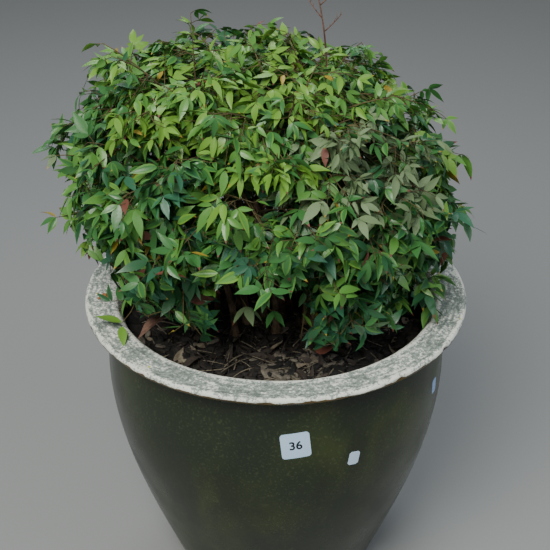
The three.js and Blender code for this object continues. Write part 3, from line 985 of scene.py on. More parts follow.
@dataclass
class Foliage:
    """The leaves: branchlets in pairs along a spray's stalk, pinnae along those, and leaflets on these.

    Places are shares of the stalk or twig that something stands on. Reaches are in the crown's own
    measure, where 1 is the mound's surface. Sways and spreads are in degrees.
    """

    planting: Planting
    stalk_radii: tuple[float, float] = (1.2, 0.7)
    branch_places: tuple[float, ...] = (0.28, 0.48, 0.68, 0.88)
    branch_lengths: tuple[float, ...] = (44, 56, 50, 38)
    pinna_places: tuple[float, ...] = (0.42, 0.74)
    crowded_places: tuple[float, ...] = (0.3, 0.54, 0.78)
    crowded_from: float = 0.36
    pinna_length: tuple[float, float] = (11, 20)
    pinna_sway: float = 0.05
    three_places: tuple[float, ...] = (0.88,)
    five_places: tuple[float, ...] = (0.3, 0.9)
    five_share: float = 0.3
    stray_places: tuple[float, ...] = (0.68, 0.86)
    lead_places: tuple[float, ...] = (0.35, 0.7)
    lead_length: tuple[float, float] = (14, 30)
    lead_droop: float = 0.15
    free_lead_share: float = 0.3
    free_lead_growth: float = 1.7
    free_lead_room: float = 0.07
    inner_branchlets: int = 7
    inner_length: tuple[float, float] = (45, 80)
    inner_reach: float = 0.9
    twig_spread: float = 50
    twig_sway: float = 12
    twig_droop: tuple[float, float] = (0.04, 0.2)
    twig_size: tuple[float, float] = (0.85, 1.15)
    outward_pull: float = 0.36
    light_pull: float = 0.66
    leaflet_spread: float = 58
    leaflet_sway: float = 14
    leaflet_droop: tuple[float, float] = (-0.22, 0.5)
    leaflet_roll: float = 28
    side_roll: float = 26
    leaflet_length: tuple[float, float] = (20, 38)
    end_size: float = 1.08
    side_size: float = 0.96
    fine_length: float = 0.62
    slimness: tuple[float, float] = (0.3, 0.42)
    curl: tuple[float, float] = (8, 46)
    fold: tuple[float, float] = (8, 26)
    wave: float = 0.08
    size_and_pitch: tuple[tuple[float, float], ...] = ((1, 0), (0.85, -22), (0.85, 22))
    grey_sides: tuple[float, float] = (20, 64)
    grey_heights: tuple[float, float] = (9, 48)
    grey_share: float = 0.85
    grey_strays_from: float = -92
    tint_sway: float = 14
    own_tint_share: float = 0.55
    margin_share: float = 0.22
    rust_share: float = 0.006
    gold_share: float = 0.008
    turned_tips: float = 0.2
    rust_tips: float = 0.12
    spray_limit: tuple[float, float] = (0.87, 1.07)
    lump: float = 0.1
    lump_size: float = 60
    stray_room: float = 0.25
    sideways: float = 0.05
    upwards: float = 0.05
    shoulders: tuple[float, float] = (0.05, 0.12)
    skirt: float = 0.05
    skirt_slope: float = 0.085
    left_skirt: float = 0.14
    gap_sides: tuple[float, float] = (-13, 20)
    gap_top: float = -9
    gap_wander: float = 5
    gap_wander_size: float = 30
    rim_room: float = 2.0
    mouth_room: tuple[float, float] = (16, 178)
    piece_faces: int = 90000
    leaves: dict[Tint, list[MeshStore]] = field(default_factory=dict)
    stalks: MeshStore = field(default_factory=MeshStore)
    count: int = 0

    def grow(self) -> None:
        """Grows every spray of every mass."""
        for mass in self.planting.masses:
            chance = Chance(mass.seed)
            for arch, tip in self.planting.stalks(mass):
                self.grow_spray(arch, tip, chance)
            self.grow_inside(mass, chance)

    def spray_tint(self, tip: SprayTip, chance: Chance) -> Tint:
        """The tint that a spray is dealt, by how high it looks out and on which side."""
        if tip.stray and tip.azimuth < self.grey_strays_from:
            return Tint.GREY
        left, right = self.grey_sides
        lowest, highest = self.grey_heights
        in_grey_patch = left < tip.azimuth < right and lowest < tip.elevation < highest
        if in_grey_patch and chance.next() < self.grey_share:
            return Tint.GREY
        height = tip.elevation + chance.between(-self.tint_sway, self.tint_sway)
        return chance.pick(next(tints for least, tints in TINTS_BY_HEIGHT if height > least))

    def grow_spray(self, arch: Arch, tip: SprayTip, chance: Chance) -> None:
        """Grows one spray: its stalk, pairs of branchlets along it, and the lead that goes on past its tip.

        Args:
            arch: the spray's stalk.
            tip: where it ends.
            chance: the mass's source of numbers.
        """
        furthest = tip.reach + self.stray_room if tip.stray else chance.between(*self.spray_limit)
        growth = Growth(self.spray_tint(tip, chance), furthest, chance)
        self.stalks.add_tube(arch.line(8), [lerp(*self.stalk_radii, i / 8) for i in range(9)], 6)
        if tip.stray:
            self.grow_pinnae(arch, self.stray_places, growth)
            return
        heading = arch.heading(1)
        length = chance.between(*self.lead_length)
        room = growth
        if chance.next() < self.free_lead_share:
            length *= self.free_lead_growth
            room = replace(growth, furthest=self.spray_limit[1] + self.free_lead_room)
        end = arch.end + heading * length + DOWN * (length * self.lead_droop)
        lead = Arch(arch.end, arch.end + heading * (length / 2), end)
        self.draw(lead, self.grow_pinnae(lead, self.lead_places, room), (0.7, 0.6, 0.5))
        crowded = self.fineness(tip.point) > self.crowded_from
        places = self.crowded_places if crowded else self.pinna_places
        for place, size in zip(self.branch_places, self.branch_lengths):
            for hand in (-1, 1):
                branchlet = self.twig(arch, place, hand, size, chance)
                self.draw(branchlet, self.grow_pinnae(branchlet, places, growth), (0.7, 0.6, 0.55, 0.45))

    def grow_inside(self, mass: Mass, chance: Chance) -> None:
        """Grows the shaded branchlets that stand straight on a mass's stem.

        Args:
            mass: the mass.
            chance: its source of numbers.
        """
        stem = self.planting.stem(mass)
        growth = Growth(Tint.DEEP, self.inner_reach, chance)
        for _ in range(self.inner_branchlets):
            base = stem.at(chance.between(0.05, 1))
            way = (chance.way() + mass.way * 0.3 + UP * 0.2).normalized()
            way *= chance.between(*self.inner_length)
            branchlet = Arch(base, base + way * 0.5 + UP * 4, base + way)
            self.draw(branchlet, self.grow_pinnae(branchlet, self.pinna_places, growth), (0.8, 0.7, 0.6, 0.5))

    def upper_side(self, point: Vector, chance: Chance, wild: float) -> Vector:
        """The way that the upper side of a leaf faces.

        Args:
            point: where the leaf is.
            chance: the mass's source of numbers.
            wild: how far it strays from facing outwards and to the light.

        Returns:
            The direction.
        """
        outward = self.planting.crown.outward_at(point)
        return (outward * self.outward_pull + UP * self.light_pull + chance.way() * wild).normalized()

    def twig(self, parent: Arch, place: float, hand: int, length: float, chance: Chance) -> Arch:
        """A twig that branches off another.

        Args:
            parent: the twig or stalk that it grows on.
            place: the share of it at which the twig stands.
            hand: -1 or 1 for its sides, 0 for its end.
            length: about how long the twig is.
            chance: the mass's source of numbers.

        Returns:
            The twig's curve.
        """
        base = parent.at(place)
        upper = self.upper_side(base, chance, 0.45)
        along = along_surface(parent.heading(place), upper).normalized()
        spread = hand * (self.twig_spread + chance.between(-self.twig_sway, self.twig_sway))
        heading = turned(along, upper, spread)
        size = length * chance.between(*self.twig_size)
        end = base + heading * size + DOWN * (size * chance.between(*self.twig_droop))
        return Arch(base, base + heading * (size * 0.5), end)

    def draw(self, twig: Arch, reach: float, radii: Sequence[float]) -> None:
        """Adds a twig as far along as it carries leaves, which is a reach of 0 where it has none."""
        if reach > 0:
            steps = len(radii) - 1
            self.stalks.add_tube([twig.at(reach * i / steps) for i in range(steps + 1)], radii, 4)

    def height_share(self, point: Vector) -> float:
        """How high a point lies in the crown: 0 at its middle and below, 1 at its top."""
        crown = self.planting.crown
        return max(0.0, (point.z - crown.centre[2]) / crown.reach[2])

    def fineness(self, point: Vector) -> float:
        """How fine the growth is: 0 where the leaflets are full size, 1 at the top and the upper right."""
        crown = self.planting.crown
        side = (point.x - crown.centre[0]) / crown.reach[0]
        return min(1.0, self.height_share(point) * (0.8 + 1.2 * max(0.0, side)))

    def grow_pinnae(self, twig: Arch, places: Sequence[float], growth: Growth) -> float:
        """Grows pairs of pinnae along a twig and one at its end.

        Args:
            twig: the twig.
            places: the shares of it at which the pairs stand.
            growth: what the spray shares.

        Returns:
            The furthest place that carries leaves, or 0.
        """
        furthest = 0.0
        for place, hand in [(place, hand) for place in places for hand in (-1, 1)] + [(1.0, 0)]:
            if self.grow_pinna(twig, place, hand, growth):
                furthest = place
        return furthest

    def grow_pinna(self, parent: Arch, place: float, hand: int, growth: Growth) -> bool:
        """Grows one pinna: a short twig with three leaflets at its end, and at times a pair below.

        Args:
            parent: the twig that it grows on.
            place: the share of it at which the pinna stands.
            hand: -1 or 1 for its sides, 0 for its end.
            growth: what the spray shares.

        Returns:
            Whether it carries a leaflet.
        """
        chance = growth.chance
        tint = growth.tint if chance.next() < self.own_tint_share else chance.pick(NEARBY[growth.tint])
        furthest = growth.furthest + chance.between(-self.pinna_sway, self.pinna_sway)
        growth = replace(growth, tint=tint, furthest=furthest)
        twig = self.twig(parent, place, hand, chance.between(*self.pinna_length), chance)
        if not self.fits(twig.start, twig.end, growth.furthest):
            return False
        upper = self.upper_side(twig.end, chance, 0.7)
        pairs = self.five_places if chance.next() < self.five_share else self.three_places
        places = [(1.0, 0)] + [(share, side) for share in pairs for side in (-1, 1)]
        grown = [self.grow_leaflet(twig, share, side, upper, growth) for share, side in places]
        if any(grown):
            self.stalks.add_tube(twig.line(2), (0.5, 0.45, 0.35), 3)
        return any(grown)

    def grow_leaflet(self, twig: Arch, place: float, hand: int, upper: Vector, growth: Growth) -> bool:
        """Grows one leaflet, pitched or made smaller where it would leave the crown or touch the pot.

        Args:
            twig: the pinna's twig.
            place: the share of the twig at which the leaflet stands.
            hand: -1 or 1 for its sides, 0 for its end.
            upper: the way that the pinna's upper side faces.
            growth: what the spray shares.

        Returns:
            Whether there was room for it.
        """
        chance = growth.chance
        base = twig.at(place)
        along = along_surface(twig.heading(place), upper).normalized()
        spread = hand * (self.leaflet_spread + chance.between(-self.leaflet_sway, self.leaflet_sway))
        heading = turned(along, upper, spread)
        direction = (heading + DOWN * chance.between(*self.leaflet_droop)).normalized()
        roll = -hand * chance.between(0, self.side_roll)
        roll += chance.between(-self.leaflet_roll, self.leaflet_roll)
        length = chance.between(*self.leaflet_length) * (self.end_size if hand == 0 else self.side_size)
        length *= lerp(1, self.fine_length, self.fineness(base))
        width = length * chance.between(*self.slimness)
        curl = chance.between(*self.curl)
        fold = chance.between(*self.fold)
        wave = chance.between(-self.wave, self.wave)
        own_tint = self.leaflet_tint(growth.tint, chance)
        turn_of_tip = chance.next()
        outward = self.planting.crown.outward_at(base)
        for size, pitch in self.size_and_pitch:
            ahead = (direction + outward * math.tan(math.radians(pitch))).normalized()
            if not self.fits(base, base + ahead * (length * size), growth.furthest):
                continue
            face = turned(along_surface(upper, ahead).normalized(), ahead, roll)
            leaflet = Leaflet(base, ahead, face, length * size, width * size, fold, curl, wave)
            if turn_of_tip > 1 - self.margin_share and own_tint in LIGHTER:
                self.press_margins(leaflet, own_tint, LIGHTER[own_tint])
            else:
                self.press(leaflet, own_tint, turn_of_tip)
            return True
        return False

    def leaflet_tint(self, tint: Tint, chance: Chance) -> Tint:
        """A leaflet's own tint: its pinna's, and now and then the colour of a turning leaf."""
        draw = chance.next()
        if draw < self.rust_share:
            return Tint.RUST
        if draw < self.rust_share + self.gold_share:
            return Tint.GOLD
        return tint

    def press(self, leaflet: Leaflet, tint: Tint, turn_of_tip: float) -> None:
        """Adds a leaflet to its tint's pieces, now and then with a tip that has turned."""
        points = LeafPress.points(leaflet)
        last = len(LeafPress.ALONG) - 1
        if turn_of_tip < self.turned_tips and tint not in TURNED:
            self.store(tint).add(*LeafPress.cut(points, 0, LeafPress.TIP_FROM))
            tip_tint = Tint.RUST if turn_of_tip < self.rust_tips else Tint.GOLD
            self.store(tip_tint).add(*LeafPress.cut(points, LeafPress.TIP_FROM, last))
        else:
            self.store(tint).add(*LeafPress.whole(points))
        self.count += 1

    def press_margins(self, leaflet: Leaflet, tint: Tint, margin: Tint) -> None:
        """Adds a leaflet whose margins have another tint than its middle."""
        points, faces = LeafPress.whole(LeafPress.points(leaflet))
        wide = len(LeafPress.ACROSS) - 1
        self.store(tint).add(points, [face for i, face in enumerate(faces) if i % wide in (1, 2)])
        self.store(margin).add(points, [face for i, face in enumerate(faces) if i % wide in (0, 3)])
        self.count += 1

    def store(self, tint: Tint) -> MeshStore:
        """The store that takes a tint's next leaflet, a new one when the last is full."""
        stores = self.leaves.setdefault(tint, [])
        if not stores or len(stores[-1].faces) > self.piece_faces:
            stores.append(MeshStore())
        return stores[-1]

    def fits(self, base: Vector, end: Vector, furthest: float) -> bool:
        """Whether what runs from base to end stays in the crown, out of its gap and clear of the pot."""
        return all(
            self.planting.crown.reach_of(point) < furthest + self.allowance(point)
            and not self.in_gap(point)
            and self.clear_of_pot(point)
            for point in (base.lerp(end, 0.5), base.lerp(end, 0.8), end)
        )

    def allowance(self, point: Vector) -> float:
        """How much further out the foliage reaches at a place.

        Args:
            point: the place.

        Returns:
            The change of reach: more at the upper right, less at the skirt, and in lumps all over.
        """
        crown = self.planting.crown
        side = (point.x - crown.centre[0]) / crown.reach[0]
        low = max(0.0, (crown.centre[2] - point.z) / crown.depth)
        high = self.height_share(point)
        lump = self.lump * noise.noise(point / self.lump_size)
        left, right = self.shoulders
        shoulder = (right if side > 0 else left) * abs(side) * high
        sideways = (side * self.sideways + shoulder) * (1 - low)
        skirt = self.skirt + self.skirt_slope * (1 - side) + self.left_skirt * max(0.0, -side)
        return sideways + self.upwards * high - low * skirt + lump

    def in_gap(self, point: Vector) -> bool:
        """Whether a point is in the gap at the front, where the foliage parts over bare mulch."""
        x, y, z = point - Vector(self.planting.crown.centre)
        azimuth = math.degrees(math.atan2(x, -y))
        elevation = math.degrees(math.atan2(z, math.hypot(x, y)))
        ragged = self.gap_wander * noise.noise(point / self.gap_wander_size)
        left, right = self.gap_sides
        return left < azimuth + ragged < right and elevation + ragged < self.gap_top

    def clear_of_pot(self, point: Vector) -> bool:
        """Whether a point is above the rim, or above the soil inside the mouth."""
        levels = self.planting.levels
        lowest, widest = self.mouth_room
        over_rim = point.z > levels.rim - levels.soil + self.rim_room
        in_mouth = point.z > lowest and math.hypot(point.x, point.y) < widest
        return over_rim or in_mouth

    def grow_trio(self, sprig: Sprig) -> None:
        """Grows three leaflets at the end of a fine stalk, at a place of their own.

        Args:
            sprig: where the stalk starts and how it runs, the leaflets' length and their tint.
        """
        start = Vector(sprig.base)
        way = Vector(sprig.way)
        chance = Chance(SEED + int(abs(start.x)))
        twig = Arch(start, start + way * 0.5 + UP * 3, start + way)
        self.stalks.add_tube(twig.line(4), (0.8, 0.7, 0.65, 0.6, 0.5), 5)
        along = twig.heading(1)
        for hand in (0, -1, 1):
            ahead = turned(along, UP, hand * chance.between(55, 80)) + DOWN * chance.between(0.1, 0.4)
            ahead.normalize()
            face = turned(along_surface(UP, ahead).normalized(), ahead, -hand * 15)
            size = sprig.length * chance.between(0.88, 1.1)
            fold = chance.between(8, 24)
            leaflet = Leaflet(twig.end, ahead, face, size, size * 0.42, fold, curl=chance.between(10, 40))
            self.press(leaflet, sprig.tint, chance.next())

    def grow_pair(self) -> None:
        """Grows the two leaflets over the left rim, with their stalk."""
        for sprig in PAIR:
            ahead = Vector(sprig.way).normalized()
            face = along_surface(UP, ahead).normalized()
            width = sprig.length * 0.38
            leaflet = Leaflet(Vector(sprig.base), ahead, face, sprig.length, width, fold=16, curl=18)
            self.press(leaflet, sprig.tint, turn_of_tip=1)
        self.stalks.add_tube([Vector(point) for point in PAIR_STALK], (0.8, 0.7, 0.6), 5)

    def build(self, nodes: Sequence[str]) -> None:
        """Makes the pieces of foliage, which stand for the masses.

        Args:
            nodes: the names of the solids that they replace.
        """
        self.grow()
        for sprig in TRIOS:
            self.grow_trio(sprig)
        self.grow_pair()
        lift = self.planting.levels.soil
        for tint, stores in self.leaves.items():
            label, colour = tint.value
            skin = LeafSkin(f"leaf_{label}", colour, roughness=0.6 if tint in DULL else 0.37).material()
            for i, store in enumerate(stores):
                place_piece(store.piece(f"leaves_{label}_{i + 1}", skin, lift), nodes)
        bark = Weathered("green_stalk_bark", "#453724", "#6b6238", cloud=30, grain=2, bump=0.2)
        place_piece(self.stalks.piece("leaf_stalks", bark.material(), lift), nodes)
        LOG.info("foliage: %d leaflets", self.count)


@dataclass
class FlowerStalk:
    """The dried flower stalk: a bare stem with forks, and the fine branchlets that held its flowers."""

    planting: Planting
    azimuth: float = 109
    elevation: float = 76
    reach: float = 1.2
    fork_places: tuple[float, ...] = (0.62, 0.74, 0.86)
    fork_length: float = 34
    fork_way: tuple[float, float, float] = (0.6, -0.3, 0.75)
    bend: tuple[float, float, float] = (8, 0, 10)
    radii: tuple[float, float] = (1.5, 0.7)
    pedicels: int = 4
    pedicel_length: tuple[float, float] = (6, 11)
    store: MeshStore = field(default_factory=MeshStore)

    def fork(self, base: Vector, way: Vector, length: float, chance: Chance) -> None:
        """Adds one fork with its branchlets.

        Args:
            base: where it starts.
            way: the way that it runs.
            length: how long it is.
            chance: the source of numbers.
        """
        end = base + way * length
        arch = Arch(base, base.lerp(end, 0.5) + DOWN * 2, end)
        self.store.add_tube(arch.line(4), (0.8, 0.7, 0.6, 0.5, 0.4), 6)
        for i in range(self.pedicels):
            start = arch.at((i + 1.6) / (self.pedicels + 1))
            tip = start + (way + chance.way() * 0.9).normalized() * chance.between(*self.pedicel_length)
            self.store.add_tube([start, tip], (0.35, 0.25), 4)

    def build(self) -> None:
        """Makes the stalk."""
        crown = self.planting.crown
        chance = Chance(SEED + 5)
        way = crown.look_out(self.azimuth, self.elevation)
        start = self.planting.nearest(crown.point_at(way, 1)).hub
        tip = crown.point_at(way, self.reach)
        arch = Arch(start, start.lerp(tip, 0.5) + Vector(self.bend), tip)
        self.store.add_tube(arch.line(16), [lerp(*self.radii, i / 16) for i in range(17)], 8)
        for i, place in enumerate(self.fork_places):
            hand = 1 if i % 2 == 0 else -1
            x, y, z = self.fork_way
            self.fork(arch.at(place), Vector((x * hand, y * hand, z)), self.fork_length, chance)
        bark = Weathered("dried_flower_stalk", "#5b3a33", "#8f6a5c", cloud=25, grain=2, bump=0.3)
        lift = self.planting.levels.soil
        place_piece(self.store.piece("flower_stalk", bark.material(), lift))


# Canes


@dataclass
class Canes:
    """The canes, with ridged bark and a ring where each leaf fell, and the stems that go on from them."""

    planting: Planting
    foot: float = 5
    tip: float = 3.3
    stem_tip: float = 2.9
    flare: float = 1.7
    flare_end: float = 0.07
    ridge: float = 0.14
    steps: int = 60
    sides: int = 14
    scar_gap: float = 22
    scar_width: float = 2.2
    scar_rise: float = 0.12
    store: MeshStore = field(default_factory=MeshStore)

    def radius(self, along: float) -> float:
        """A cane's plain radius at a share of its length."""
        flare = 1 + (self.flare - 1) * max(0.0, 1 - along / self.flare_end)
        return lerp(self.foot, self.tip, along) * flare

    def add_limb(self, arch: Arch, steps: int, radius_at: Callable[[float], float], seed: float) -> None:
        """Adds one limb with bark relief.

        Args:
            arch: the limb's middle line.
            steps: how many steps it is made in.
            radius_at: its plain radius at a share of its length.
            seed: a number that sets its own relief.
        """
        line = arch.line(steps)
        points = []
        for i, (point, (side, top)) in enumerate(zip(line, line_frames(line))):
            along = i / steps
            gone = along * arch.lengths[-1]
            off_scar = abs((gone + seed * 7) % self.scar_gap - self.scar_gap / 2)
            scar = max(0.0, 1 - off_scar / self.scar_width)
            for k in range(self.sides):
                turn = math.tau * k / self.sides
                spot = Vector((math.cos(turn) * 1.6, math.sin(turn) * 1.6, gone * 0.03 + seed * 5))
                relief = noise.noise(spot) * self.ridge + noise.noise(spot * 3.1) * self.ridge * 0.5
                radius = radius_at(along) * (1 + relief + scar * self.scar_rise)
                points.append(point + (side * math.cos(turn) + top * math.sin(turn)) * radius)
        self.store.add(points, tube_faces(steps + 1, self.sides))

    def build(self, nodes: Sequence[str]) -> None:
        """Makes the canes and the stems.

        Args:
            nodes: the names of the solids that they replace.
        """
        for i, mass in enumerate(self.planting.masses):
            self.add_limb(self.planting.cane(mass), self.steps, self.radius, i)
        bark = Weathered("ridged_cane_bark", "#3d2e22", "#86705a", cloud=18, grain=3,
                         stretch=(1, 1, 0.25), bump=0.8).material()
        lift = self.planting.levels.soil
        place_piece(self.store.piece("canes", bark, lift), nodes)
        self.store = MeshStore()
        for i, mass in enumerate(self.planting.masses):
            self.add_limb(self.planting.stem(mass), self.steps // 3,
                          lambda along: lerp(self.tip, self.stem_tip, along), i + 0.5)
        place_piece(self.store.piece("mass_stems", bark, lift))


# Pot


@dataclass
class Pot:
    """The pot: a bellied wall, a turned-out rim with a rounded bead, and three drain holes.

    The wall's curve ends at the neck, and the handles pull it: each is a radius and a height.
    """

    height: float
    rim_radius: float = 260
    mouth_radius: float = 224
    neck: tuple[float, float] = (226.5, 430)
    handles: tuple[tuple[float, float], tuple[float, float]] = ((208, 171), (254, 283))
    base_radius: float = 147
    wall: float = 16
    floor: float = 18
    around: int = 220
    wall_steps: int = 56
    drain_holes: int = 3
    drain_radius: float = 11
    drain_ring: float = 75
    wobble: float = 0.7
    rim_wave: float = 0.5
    rim_wave_from: float = 400
    bead_size: tuple[float, float] = (15, 14)
    nick_from: float = 0.34
    nick_depth: float = 9
    pitting: float = 0.35

    def wall_point(self, t: float) -> tuple[float, float]:
        """The radius and height of the outer wall at the curve's own parameter."""
        corners = ((self.base_radius, 0), *self.handles, self.neck)
        weights = ((1 - t) ** 3, 3 * t * (1 - t) ** 2, 3 * t**2 * (1 - t), t**3)
        return tuple(sum(w * c[k] for w, c in zip(weights, corners)) for k in (0, 1))

    def wall_radius(self, height: float) -> float:
        """The outer wall's radius at a height."""
        table = [self.wall_point(i / 100) for i in range(101)]
        return float(np.interp(height, [z for _, z in table], [r for r, _ in table]))

    def outline(self) -> list[tuple[float, float]]:
        """The pot's outline, from the middle of its underside, round its rim, to its inner floor."""
        base, rim, mouth, top = self.base_radius, self.rim_radius, self.mouth_radius, self.height
        foot = [(0.0, 1.5), (base - 22, 1.5), (base - 18, 0.0), (base - 3, 0.0), (base - 0.8, 0.8)]
        outside = [self.wall_point(i / self.wall_steps) for i in range(1, self.wall_steps + 1)]
        under = [(rim - 28, top - 19), (rim - 20, top - 17.5), (rim - 13, top - 16), (rim - 8, top - 14.2),
                 (rim - 4, top - 12)]
        bead = [(rim - 4.5 + 4.5 * math.cos(a), top - 5 + 5 * math.sin(a))
                for a in np.radians(np.linspace(-50, 90, 12))]
        groove = [(rim - 7, top - 0.3), (rim - 9, top - 0.8), (rim - 11.5, top - 1.2), (rim - 14, top - 1),
                  (rim - 17, top - 0.6)]
        ledge = [(r, top - 0.5 + 0.4 * math.sin(r / 3.1)) for r in np.linspace(rim - 20, mouth + 2, 8)]
        lip = [(mouth - 1, top - 0.6), (mouth - 4, top - 1.8), (mouth - 6.5, top - 3.8),
               (mouth - 8.2, top - 6.5), (mouth - 10, top - 11), (mouth - 12, top - 16)]
        heights = np.linspace(self.neck[1], self.floor + 6, 40)
        inside = [(self.wall_radius(z) - self.wall, z) for z in heights]
        low = self.wall_radius(self.floor) - self.wall
        return [*foot, *outside, *under, *bead, *groove, *ledge, *lip, *inside, (low - 6, self.floor),
                (0.0, self.floor)]

    def shaped(self, radius: float, height: float, turn: float) -> Vector:
        """A point of the pot with the slight unevenness that hands left, and nicks in its bead."""
        way = Vector((math.cos(turn), math.sin(turn), 0))
        spot = way * 1.7 + UP * (height / 130)
        out = noise.noise(spot) * self.wobble * min(1.0, radius / 100)
        rise = noise.noise(way * 2.3) * self.rim_wave if height > self.rim_wave_from else 0.0
        wide, deep = self.bead_size
        high = height > self.height - deep
        if high and radius > self.rim_radius - wide:
            nick = noise.noise(way * 26 + UP * (height / 9))
            out -= max(0.0, nick - self.nick_from) * self.nick_depth
            rise -= max(0.0, nick - self.nick_from - 0.06) * 4
        if high and radius > self.mouth_radius - 10:
            rise += noise.noise(way * radius / 5 + UP * (radius / 4)) * self.pitting
        return way * (radius + out) + UP * (max(height, 0.0) + (rise if height > 2 else 0.0))

    def build(self) -> None:
        """Makes the pot with its drain holes."""
        outline = self.outline()
        rings = outline[1:-1]
        points = [Vector((0, 0, outline[0][1]))]
        for radius, height in rings:
            points += [self.shaped(radius, height, math.tau * k / self.around) for k in range(self.around)]
        points.append(Vector((0, 0, outline[-1][1])))
        faces = fan(0, 1, self.around, flipped=True)
        for row in range(len(rings) - 1):
            faces += band(1 + row * self.around, self.around)
        faces += fan(len(points) - 1, 1 + (len(rings) - 1) * self.around, self.around)
        store = MeshStore()
        store.add(points, faces)
        pot = store.piece("pot_thrown", GlazedStoneware().material())
        self.drill(pot)
        place_piece(pot, ["pot"])

    def drill(self, pot: bpy.types.Object) -> None:
        """Cuts the drain holes through the floor.

        Args:
            pot: the pot without holes.
        """
        store = MeshStore()
        for i in range(self.drain_holes):
            turn = math.tau * i / self.drain_holes
            middle = Vector((math.cos(turn), math.sin(turn), 0)) * self.drain_ring
            line = [middle - UP * 20, middle + UP * 40]
            store.add_tube(line, (self.drain_radius, self.drain_radius), 32)
        drill = store.piece("drill", pot.data.materials[0])
        cut = pot.modifiers.new("drain_holes", "BOOLEAN")
        cut.object = drill
        cut.operation = "DIFFERENCE"
        graph = bpy.context.evaluated_depsgraph_get()
        bored = bpy.data.meshes.new_from_object(pot.evaluated_get(graph))
        pot.modifiers.clear()
        pot.data = bored
        bpy.data.objects.remove(drill)


@dataclass(frozen=True)
class Label:
    """A paper label stuck on the pot's wall and bent to it, some with a plain number."""

    name: str
    azimuth: float
    height: float
    size: tuple[float, float]
    corner: float
    corner_steps: int
    turn: float
    paper: str
    number: str = ""
    digits: float = 17
    boldness: float = 0.35
    lift: float = 0.4
    sunk: float = 0.4
    ink_lift: float = 0.15
    side_steps: int = 6

    def on_wall(self, pot: Pot, across: float, up: float, lift: float) -> Vector:
        """A point on the pot's wall.

        Args:
            pot: the pot.
            across: how far to the right of the label's middle the point is.
            up: how far above it.
            lift: how far off the wall.

        Returns:
            The point.
        """
        turn = math.radians(self.turn)
        right = across * math.cos(turn) - up * math.sin(turn)
        height = self.height + across * math.sin(turn) + up * math.cos(turn)
        radius = pot.wall_radius(height)
        return pot.shaped(radius + lift, height, math.radians(self.azimuth - 90) + right / radius)

    def outline(self) -> list[tuple[float, float]]:
        """The label's outline, a rectangle with rounded or cut corners."""
        half_width = self.size[0] / 2 - self.corner
        half_height = self.size[1] / 2 - self.corner
        bends = []
        for quarter, (x, y) in enumerate(((1, 1), (-1, 1), (-1, -1), (1, -1))):
            steps = range(self.corner_steps + 1)
            turns = [math.radians(90 * (quarter + i / self.corner_steps)) for i in steps]
            bends.append([(x * half_width + self.corner * math.cos(turn),
                           y * half_height + self.corner * math.sin(turn)) for turn in turns])
        points = []
        for k, bend in enumerate(bends):
            (x, y), (next_x, next_y) = bend[-1], bends[(k + 1) % 4][0]
            shares = [i / self.side_steps for i in range(1, self.side_steps)]
            points += bend + [(lerp(x, next_x, share), lerp(y, next_y, share)) for share in shares]
        return points

    def build(self, pot: Pot) -> None:
        """Makes the label and its number. Its edge has a ring of its own, so that its face stays flat."""
        outline = self.outline()
        wide = len(outline)
        points = [self.on_wall(pot, 0, 0, self.lift)]
        shares_and_lifts = (
            (0.35, self.lift), (0.7, self.lift), (1, self.lift), (1, self.lift), (1, -self.sunk))
        for share, lift in shares_and_lifts:
            points += [self.on_wall(pot, x * share, y * share, lift) for x, y in outline]
        faces = fan(0, 1, wide)
        for ring in (0, 1, 3):
            faces += band(1 + ring * wide, wide, flipped=True)
        store = MeshStore()
        store.add(points, faces)
        paper = PlainSkin(f"{self.name}_paper", self.paper, 0.55, 1.5).material()
        place_piece(store.piece(self.name, paper))
        if self.number:
            self.print_number(pot)

    def print_number(self, pot: Pot) -> None:
        """Prints the number on the label."""
        curve = bpy.data.curves.new(f"{self.name}_digits", "FONT")
        curve.body = self.number
        curve.size = self.digits
        curve.offset = self.boldness
        curve.align_x = "CENTER"
        curve.align_y = "CENTER"
        text = bpy.data.objects.new(f"{self.name}_digits", curve)
        bpy.context.scene.collection.objects.link(text)
        flat = bpy.data.meshes.new_from_object(text.evaluated_get(bpy.context.evaluated_depsgraph_get()))
        store = MeshStore()
        store.add([self.on_wall(pot, *point.co.xy, self.lift + self.ink_lift) for point in flat.vertices],
                  [tuple(face.vertices) for face in flat.polygons])
        bpy.data.objects.remove(text)
        ink = PlainSkin("black_print", "#15171a", 0.5, 1.5).material()
        place_piece(store.piece(f"{self.name}_number", ink))


LABELS = (
    Label("large_label", azimuth=6, height=359, size=(37, 38), corner=4.5, corner_steps=6, turn=6,
          paper="#c9e5ff", number="36"),
    Label("small_tag", azimuth=25, height=322, size=(15, 21), corner=2.6, corner_steps=1, turn=-8,
          paper="#d2e7ff"),
    Label("side_tag", azimuth=65, height=352, size=(14, 22), corner=2.6, corner_steps=1, turn=0,
          paper="#a9c8f5"),
)


# Soil and litter


# The dark and the light tone of each heap. The dark and brown chips and the brown litter are their own dark
# colours set darker still: painted shade for the shade that the foliage casts on the bed.
CHIP_TONES = {"dark": ("#121211", "#292826"), "brown": ("#201e1b", "#38332e"), "pale": ("#544e46", "#878072")}
LITTER_TONES = {
    "brown": ("#2a2521", "#473d35"), "tan": ("#615849", "#938874"), "rust": ("#96562c", "#c08a52"),
    "dead": ("#553d33", "#8c6a58"),
}
STICK_TONES = {"dark": ("#1c1a18", "#403a34"), "straw": ("#5f5749", "#8f8672")}


